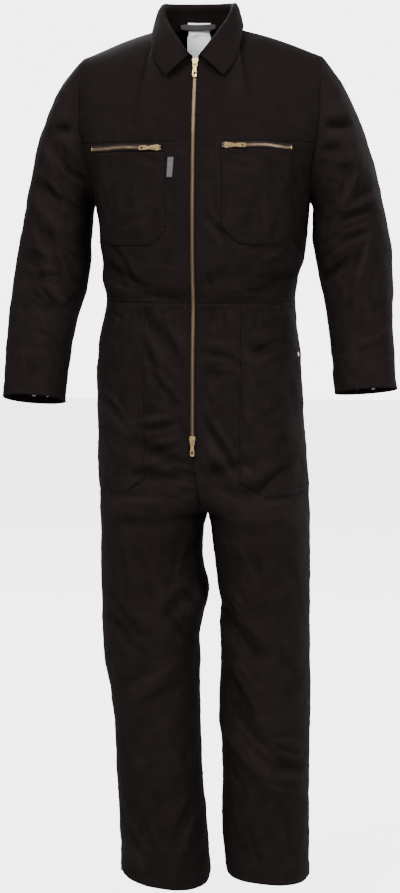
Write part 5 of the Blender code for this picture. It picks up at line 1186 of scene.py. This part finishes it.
for side in (-1, 1):
    made = chestPocket[side]
    u, v = evenGrid(*pocket["chestGrid"])
    x = made["inner"] + (made["outer"] - made["inner"]) * u
    lift = np.maximum(made["innerCut"] - (x - made["inner"]), made["outerCut"] - (made["outer"] - x))
    grid = placedOn(surfaces["front", side], x, made["top"] + (lowerEdge(made["bottom"], lift) - made["top"]) * v)
    line = lines["chestPocket", side] = pocketPiece("chest", side, grid)
    corner = thread["corner"]
    sew("stitchesPockets", line, *((edge, seam["pocket"], 0, corner) for edge in ("start", "end")),
        ("bottom", seam["pocket"], corner, corner))
    made, surface, top = hipPocket[side], surfaces["trouserFront", side], pocket["hipTop"]
    levels = np.linspace(top, made["bottom"] - 0.001, 120)
    found = surface(shareTable[None, :], levels[:, None])
    topX, bottomX, bottomZ = made["mouth"]
    mouthX = topX + (bottomX - topX) * (top - levels) / (top - bottomZ)
    reach, depth = (np.maximum.accumulate(values, axis=1) for values in (np.abs(found[..., 0]), found[..., 1]))
    inner, mouth = (np.array([np.interp(x, row, shareTable) for x, row in zip(places, reach)])
                    for places in (made["inner"] + 0 * levels, mouthX))
    rim = np.array([np.interp(pocket["sideY"], row, shareTable) for row in depth])
    u, v = evenGrid(*pocket["hipGrid"])
    z = top + (lowerEdge(made["bottom"], made["innerCut"] - pocket["slope"] * u) - top) * v
    inner, outer = (np.interp(-z, -levels, values) for values in (inner, np.minimum(rim, mouth)))
    slack = pocket["slack"] * u**3 * ease((z - bottomZ + 0.02) / 0.03) * ease((top - z) / 0.012)
    line = lines["hipPocket", side] = pocketPiece("hip", side, surface(inner + (outer - inner) * u, z), slack)
    sew("stitchesPockets", line, ("start", seam["pocket"], 0, corner), ("bottom", seam["pocket"], corner),
        ("end", seam["pocket"], 0, pocket["mouthFree"]))

# tag under the right chest pocket's edge, bare label and hanging loop inside the neck
print("labels")
tape = {"wall": 0.0010, "rest": 0.0004}
tag = {"top": -0.2328, "bottom": -0.2678, "inner": 0.0337, "outer": 0.0442, "slant": 0.0019, "stand": 0.0016,
       "lift": 0.0012, "wave": 0.0003, "grid": (9, 22)}
u, v = evenGrid(*tag["grid"])
grid = placedOn(surfaces["front", -1], tag["inner"] + (tag["outer"] - tag["inner"]) * u + tag["slant"] * v,
                tag["top"] + (tag["bottom"] - tag["top"]) * v)
height = tag["stand"] + tag["lift"] * v**2 + tag["wave"] * np.sin(3 * math.pi * u) * v
grid += gridNormals(grid, False, False) * height[..., None]
clothPanel("chestTag", grid, greyTape, "chest_tag", wall=tape["wall"], slot="grey_tape")

label = {"middleX": -0.0140, "width": 0.043, "top": 0.0190, "bottom": -0.0520, "wave": 0.0008, "free": 0.010,
         "grid": (20, 30)}
loop = {"width": 0.067, "top": 0.0150, "bottom": 0.0028, "bulge": 0.0034, "taper": 0.25, "gap": 0.0008,
        "bend": 0.05, "grid": (40, 7)}


# a strip hanging straight down beside the back of the neckline's ellipse
def besideNeck(x, z):
    share = np.clip((x - neckCut["shift"]) / neckCut["halfWidth"], -1, 1)
    return stack(x, neckCut["middleY"] + neckCut["halfDepth"] * np.sqrt(1 - share**2), z)


# label and loop lie on the collar's stand
stand = lines["collar"][: int(collarCut["standShare"] * collarCut["rows"]), ::2]
laid = {"flip": True, "wall": tape["wall"], "low": tape["wall"] / 2}
u, v = evenGrid(*label["grid"])
grid = besideNeck(label["middleX"] + (u - 0.5) * label["width"], label["top"] + (label["bottom"] - label["top"]) * v)
grid = restOn(grid, [stand], tape["rest"] + tape["wall"] / 2)
grid[..., 1] = np.minimum(grid[..., 1], grid[:6, :, 1].min(axis=0))
grid[..., 1] -= label["wave"] * np.sin(2.2 * v) * np.sin(0.4 + 2.5 * u)
line = clothPanel("neckLabel", grid, whiteTape, "neck_label", slot="white_label", **laid)
sew("stitchesLabel", line, ("top", seam["labelTop"], thread["corner"], thread["corner"]),
    *((edge, seam["single"], 0, label["free"]) for edge in ("start", "end")))
u, v = evenGrid(*loop["grid"])
half = 0.5 * (loop["top"] - loop["bottom"]) * (1 - loop["taper"] * ease((np.abs(u - 0.5) - 0.38) / 0.12))
grid = besideNeck(label["middleX"] + (u - 0.5) * loop["width"],
                  0.5 * (loop["top"] + loop["bottom"]) + half * (1 - 2 * v))
grid = restOn(grid, [stand], tape["rest"] + tape["wall"] / 2)
grid[..., 1] -= loop["bulge"] * np.sin(math.pi * u)
front = line[:6, :, 1].min() - loop["gap"] - 0.6 * ((u - 0.5) * loop["width"]) ** 2 / loop["bend"]
grid[..., 1] = np.minimum(grid[..., 1], front)
clothPanel("hangerLoop", grid, loopTape, "hanger_loop", slot="grey_tape", **laid)

# zips: tapes, interlocked teeth, stops, sliders and pulls; across, low and top of a tooth, then half along
print("zips")
zips = {
    "main": {"pitch": 0.0025, "across": (-0.0010, 0.0031), "low": -0.0022, "top": 0.0008, "along": 0.00058},
    "chest": {"pitch": 0.0021, "across": (-0.0008, 0.0025), "low": 0.0010, "top": 0.0021, "along": 0.00050},
    "tapeHalf": 0.0084, "tapeWall": 0.0009, "tapeGap": 0.0007, "aboveFirst": 0.004, "belowSlider": 0.0225,
}


# a tooth: rectangle from low to near its top, then drawn in a little all round
def toothShape(across, along, low, top):
    (x0, x1), rings = across, []
    for z, draw in ((low, 0), (top - 0.0004, 0), (top, 1)):
        dx, dy = 0.00035 * draw, 0.00018 * draw
        rings.append([(x0 + dx, -along + dy, z), (x1 - dx, -along + dy, z), (x1 - dx, along - dy, z),
                      (x0 + dx, along - dy, z)])
    faces = [(3, 2, 1, 0), (8, 9, 10, 11)]
    for k in (0, 4):
        faces += [(k + j, k + (j + 1) % 4, k + 4 + (j + 1) % 4, k + 4 + j) for j in range(4)]
    return np.array(sum(rings, [])), np.array(faces)


# the two rows of teeth, each half a pitch behind the other
def teethAlong(name, node, line, tooth, start, end):
    low, high = tooth["across"]
    for side, reach in ((-1, (-high, -low)), (1, (low, high))):
        at = np.arange(start + tooth["pitch"] * (0.5 + 0.25 * side), lengthOf(line) - end, tooth["pitch"])
        shape, faces = toothShape(reach, tooth["along"], tooth["low"], tooth["top"])
        piece = copies(f"{name}{sideName[side]}", shape, faces, *placesOn(line, at), brassChain, slot="brass")
        piece.data.polygons.foreach_set("use_smooth", np.zeros(len(piece.data.polygons), bool))
        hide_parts(node)


columns = []
for side, edge in ((-1, zips["tapeHalf"]), (-1, 0.0), (1, 0.0), (1, zips["tapeHalf"])):
    fly = lines["trouserFront", side]
    parts = [lines["yoke", side], lines["front", side], fly[fly[:, 0, 2] > cut["zipEndZ"]]]
    made = [insetLine(part, "start", edge) if edge else part[:, 0] for part in parts]
    columns.append(np.concatenate([made[0], made[1][1:], made[2][1:]]))
middle = 0.5 * (columns[1] + columns[2])
middle[:, 3:] = unit(middle[:, 3:])
columns.insert(2, middle)
grid = np.stack([c[:, :3] - unit(c[:, 3:]) * (cut["wall"] + zips["tapeGap"]) for c in columns], axis=1)
clothPanel("mainZipTapes", grid, zipTape, "main_zip", wall=-zips["tapeWall"])
teethAlong("mainZipTeeth", "main_zip", middle, zips["main"], zips["aboveFirst"], zips["belowSlider"])

chestZip = {-1: {"inner": 0.0570, "outer": 0.1885, "z": -0.2160, "slider": 0.0680, "arch": 0.0016, "sag": 0.0006},
            1: {"inner": 0.0515, "outer": 0.1705, "z": -0.2118, "slider": 0.0646, "arch": 0.0010, "sag": 0.0036}}
chestTape = {"half": 0.0053, "wall": 0.0007, "low": 0.0011, "straight": 0.024, "free": 0.002,
             "grid": (60, 7)}
# stops: half across, half along, low and top, and the places of the blocks beside the line
stops = {"End": (0.0029, 0.0012, 0.0008, 0.0026, (0.0,)), "Stops": (0.0009, 0.0010, 0.0008, 0.0028, (-0.0026, 0.0026)),
         "endGap": 0.0012, "startGap": 0.0010}
lips = {"Upper": (0.0029, 0.0049), "Lower": (-0.0066, -0.0029), "past": 0.003, "gap": 0.0004, "height": 0.0014,
        "wall": 0.0008, "grid": (60, 5)}


# a chest zip is straight under its slider, then arches a little and sags towards its outer end
def chestZipRise(made, x):
    start = made["slider"] + chestTape["straight"]
    t = np.clip((x - start) / (made["outer"] - start), 0, 1)
    return made["arch"] * np.sin(math.pi * np.minimum(t * 1.5, 1)) - made["sag"] * ease((t - 0.45) / 0.55)


for side in (-1, 1):
    made, surface, node = chestZip[side], surfaces["front", side], nodeOf("chest_zip", side)
    flip = side > 0
    u, v = evenGrid(*chestTape["grid"])
    x = made["inner"] + (made["outer"] - made["inner"]) * u
    grid = placedOn(surface, x, made["z"] + chestTape["half"] * (1 - 2 * v) + chestZipRise(made, x))
    line = lineWith(grid, flip=flip)[3]
    clothPanel("chestZipTape" + sideName[side], grid, zipTape, None, flip=flip,
               wall=chestTape["wall"], low=chestTape["low"])
    teethAlong("chestZipTeeth" + sideName[side], node, line, zips["chest"], made["slider"] - made["inner"],
               chestTape["free"])
    for part, at in (("End", lengthOf(line) - stops["endGap"]), ("Stops", stops["startGap"])):
        across, along, low, top, aside = stops[part]
        shape, faces = toothShape((-across, across), along, low, top)
        faces = np.concatenate([faces + k * len(shape) for k in range(len(aside))])
        shape = np.concatenate([shape + (off, 0, 0) for off in aside])
        copies(f"chestZip{part}{sideName[side]}", shape, faces, *placesOn(line, np.array([at])), brass, slot="brass")
    u, v = evenGrid(*lips["grid"])
    x = made["inner"] - lips["past"] + (made["outer"] - made["inner"] + 2 * lips["past"]) * u
    for part in ("Upper", "Lower"):
        low, high = lips[part]
        grid = placedOn(surface, x, made["z"] + chestZipRise(made, x) + high + (low - high) * v)
        height = lips["gap"] + lips["height"] * np.sin(math.pi * (0.25 + 0.5 * v)) ** 2
        grid = grid + gridNormals(grid, False, flip) * height[..., None]
        clothPiece(f"chestZipLip{part}{sideName[side]}", grid, twill, flip=flip, wall=lips["wall"])


# a copy of a packed metal solid, its doubles joined, narrowed, its round hole widened, its edges softened;
# sliders and pulls have a share of the width and a width of the softened edge
metal = {"holeFromEnd": 0.0064, "holeReach": 0.0027, "holeGrowth": 1.55, "slider": (0.86, 0.00025),
         "pull": (0.80, 0.00020), "edgeAngle": math.radians(35)}


def metalPiece(kind, where, body):
    node, (narrow, softness) = f"{kind}_{where}", metal[kind]
    name = kind + "".join(word.capitalize() for word in where.split("_"))
    mesh = frame["nodes"][node].data.copy()
    mesh.name = name
    builder = bmesh.new()
    builder.from_mesh(mesh)
    bmesh.ops.remove_doubles(builder, verts=builder.verts, dist=1e-6)
    places = np.array([vert.co for vert in builder.verts])
    across, along = (2, 0) if "chest" in node else (0, 2)
    middle = places.mean(axis=0)
    places[:, across] = middle[across] + (places[:, across] - middle[across]) * narrow
    if kind == "pull":
        slider = frame["nodes"]["slider_" + where].data.vertices
        tail = np.sign(middle[along] - np.mean([vert.co[along] for vert in slider]))
        hole = middle.copy()
        hole[along] = (places[:, along] * tail).max() * tail - tail * metal["holeFromEnd"]
        off = places - hole
        near = np.hypot(off[:, across], off[:, along]) < metal["holeReach"]
        for k in (across, along):
            places[near, k] = hole[k] + off[near, k] * metal["holeGrowth"]
    for vert, place in zip(builder.verts, places):
        vert.co = place
    bmesh.ops.dissolve_limit(builder, angle_limit=math.radians(1), verts=builder.verts, edges=builder.edges)
    builder.to_mesh(mesh)
    builder.free()
    mesh.materials.clear()
    mesh.materials.append(brass)
    piece = bpy.data.objects.new(name, mesh)
    scene.collection.objects.link(piece)
    soft = piece.modifiers.new("soft", "BEVEL")
    soft.width, soft.segments, soft.limit_method, soft.angle_limit = softness, 2, "ANGLE", metal["edgeAngle"]
    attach(piece, body)
    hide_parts(node)


for where in ("top", "bottom", "chest_left", "chest_right"):
    metalPiece("slider", where, "garment")
    metalPiece("pull", where, f"pull_{where}_body")

# snaps: a turned cap with a hollow middle
print("snaps and stitches")
snap = {"radius": 0.0046, "height": 0.0013, "gap": 0.0002, "steps": 28,
        "profile": [(0.0, 0.62), (0.30, 0.62), (0.42, 0.78), (0.60, 1.0), (0.82, 0.86), (0.97, 0.42), (1.0, 0.0),
                    (0.90, -0.15), (0.0, -0.15)]}


# the profile turned round Z; first and last points lie on the axis
def snapShape():
    count = snap["steps"]
    r, h = (np.array(snap["profile"]) * (snap["radius"], snap["height"])).T
    turn = np.arange(count) / count * 2 * math.pi
    ring = stack(r[1:-1, None] * np.cos(turn), r[1:-1, None] * np.sin(turn), h[1:-1, None])
    points = np.concatenate([ring.reshape(-1, 3), [[0, 0, h[0]], [0, 0, h[-1]]]])
    quads = gridQuads(len(r) - 2, count, closed=True)
    k, last = np.arange(count), (len(r) - 3) * count
    top = np.stack([(k + 1) % count, k, 0 * k + len(points) - 2], axis=-1)
    base = np.stack([last + k, last + (k + 1) % count, 0 * k + len(points) - 1], axis=-1)
    return points, np.concatenate([quads[:, [0, 1, 2]], quads[:, [0, 2, 3]], top, base])


# mean of the four nearest rows of a line, the nearer the heavier
def nearestOn(line, point):
    flat = line.reshape(-1, 6)
    away = ((flat[:, :3] - np.array(point)) ** 2).sum(-1)
    near = np.argsort(away)[:4]
    weight = 1 / (away[near] + 1e-9)
    return (flat[near] * weight[:, None]).sum(0) / weight.sum()


# where each snap sits: panel, side, place, and outside (1) or inside (-1) of the cloth
places = [("trouserFront", -1, (-0.1434, -0.030, -1.5560), 1), ("hipPocket", 1, (0.1758, -0.020, -0.5707), 1),
          ("sleeve", -1, (-0.2898, 0.010, -0.6660), -1), ("sleeve", -1, (-0.3182, 0.010, -0.6660), -1),
          ("sleeve", 1, (0.2850, 0.010, -0.6460), -1), ("sleeve", 1, (0.3130, 0.010, -0.6460), -1)]
rows = []
for key, side, point, face in places:
    found = nearestOn(lines[key, side], point)
    way = unit(found[3:]) * face
    centre = found[:3] + way * (snap["gap"] + (0 if face > 0 else cut["wall"]))
    rows.append((centre, unit(np.cross(way, (1.0, 0.2, 0.1))), way))
copies("snaps", *snapShape(), *(np.array(values) for values in zip(*rows)), steel, slot="brass")

# bar tacks: short stitches side by side
tack = {"half": 0.0021, "stitches": 8}
tacks = [("trouserFront", -1, (-0.0143, -0.137, -0.4966)), ("chestPocket", -1, (-0.0537, -0.150, -0.3580)),
         ("chestPocket", 1, (0.0565, -0.150, -0.3500)), ("hipPocket", -1, (-0.1420, -0.090, -0.4975)),
         ("hipPocket", 1, (0.1470, -0.085, -0.4975))]
for key, side, point in tacks:
    found = nearestOn(lines[key, side], point)
    way = unit(found[3:])
    across = unit(np.cross(way, (0.0, 0.0, 1.0)))
    centres = found[:3] + across * downEven(-tack["half"], tack["half"], tack["stitches"])
    sewn.setdefault("barTacks", []).append((centres, unit(np.cross(across, way)) + 0 * centres, way + 0 * centres))

# all the stitches of an area are one mesh of double pyramids
half, wide, high = thread["length"] / 2, thread["width"] / 2, thread["height"]
shape = np.array([(0, -half, -0.1 * high), (0, half, -0.1 * high), (-wide, 0, 0.1 * high), (wide, 0, 0.1 * high),
                  (0, 0, high), (0, 0, -0.4 * high)])
faces = np.array([(0, 3, 4), (3, 1, 4), (1, 2, 4), (2, 0, 4), (3, 0, 5), (1, 3, 5), (2, 1, 5), (0, 2, 5)])
for area, runs in sewn.items():
    centres, along, outward = (np.concatenate(values) for values in zip(*runs))
    copies(area, shape, faces, centres, along, outward, tackThread if area == "barTacks" else blackThread)
    print(f"  {area}: {len(centres)} stitches")

print("stage, light and camera")
stage = {"floorZ": -1.66, "floorHalf": 12, "surround": 0.9, "backdrop": 5.0, "floorGlow": 3.4, "lens": 83.26,
         "place": (0.4585, -3.7722, -0.3586), "aim": (-0.0046, -0.7586), "yaw": math.radians(7)}


# a strength that the camera sees as something other than what lights the scene
def seenAs(tree, lit, seen):
    return spread(addNode(tree, "LightPath")["Is Camera Ray"], 0, 1, lit, seen)


pale = Look("paleFloor")
pale = pale.give(Base_Color=(0.50, 0.50, 0.50), Roughness=0.9, Emission_Color=(1.0, 1.0, 1.0),
                 Emission_Strength=seenAs(pale.tree, 0, stage["floorGlow"]))
along = np.linspace(-stage["floorHalf"], stage["floorHalf"], 9)
floor = meshPiece("floor", stack(*np.meshgrid(along, along), stage["floorZ"]), gridQuads(9, 9, flip=True), pale,
                  body=None)
floor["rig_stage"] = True
world = bpy.data.worlds.new("studio")
scene.world = world
world.use_nodes = True
background = world.node_tree.nodes["Background"].inputs
feed(background["Color"], (1, 1, 1))
feed(background["Strength"], seenAs(world.node_tree, stage["surround"], stage["backdrop"]))


def linked(name, data, place, aim):
    item = bpy.data.objects.new(name, data)
    scene.collection.objects.link(item)
    item.location = place
    item.rotation_euler = (Vector(aim) - Vector(place)).to_track_quat("-Z", "Y").to_euler()
    return item


# soft lights: place, height aimed at, width and height, power
lights = {"key": ((-1.6, -3.0, 2.4), -0.7, (1.8, 1.8), 270), "fill": ((2.8, -3.0, 0.9), -0.5, (1.6, 2.2), 185),
          "backHigh": ((-1.7, 3.1, 2.0), -0.7, (1.8, 1.8), 190), "backLow": ((2.6, 2.7, 0.5), -0.8, (1.6, 2.2), 120)}
for name, (place, aimZ, size, power) in lights.items():
    data = bpy.data.lights.new(name, "AREA")
    data.shape, data.energy = "RECTANGLE", power
    data.size, data.size_y = size
    linked(name, data, place, (0, 0, aimZ))

data = bpy.data.cameras.new("camera")
data.lens, data.sensor_width = stage["lens"], 36
(off, aimZ), yaw = stage["aim"], stage["yaw"]
scene.camera = linked("camera", data, stage["place"], (off * math.cos(yaw), off * math.sin(yaw), aimZ))

low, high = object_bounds()
shown = [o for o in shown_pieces() if "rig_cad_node" not in o]
print("pieces:", len(shown), "triangles:", sum(len(o.data.loops) - 2 * len(o.data.polygons) for o in shown))
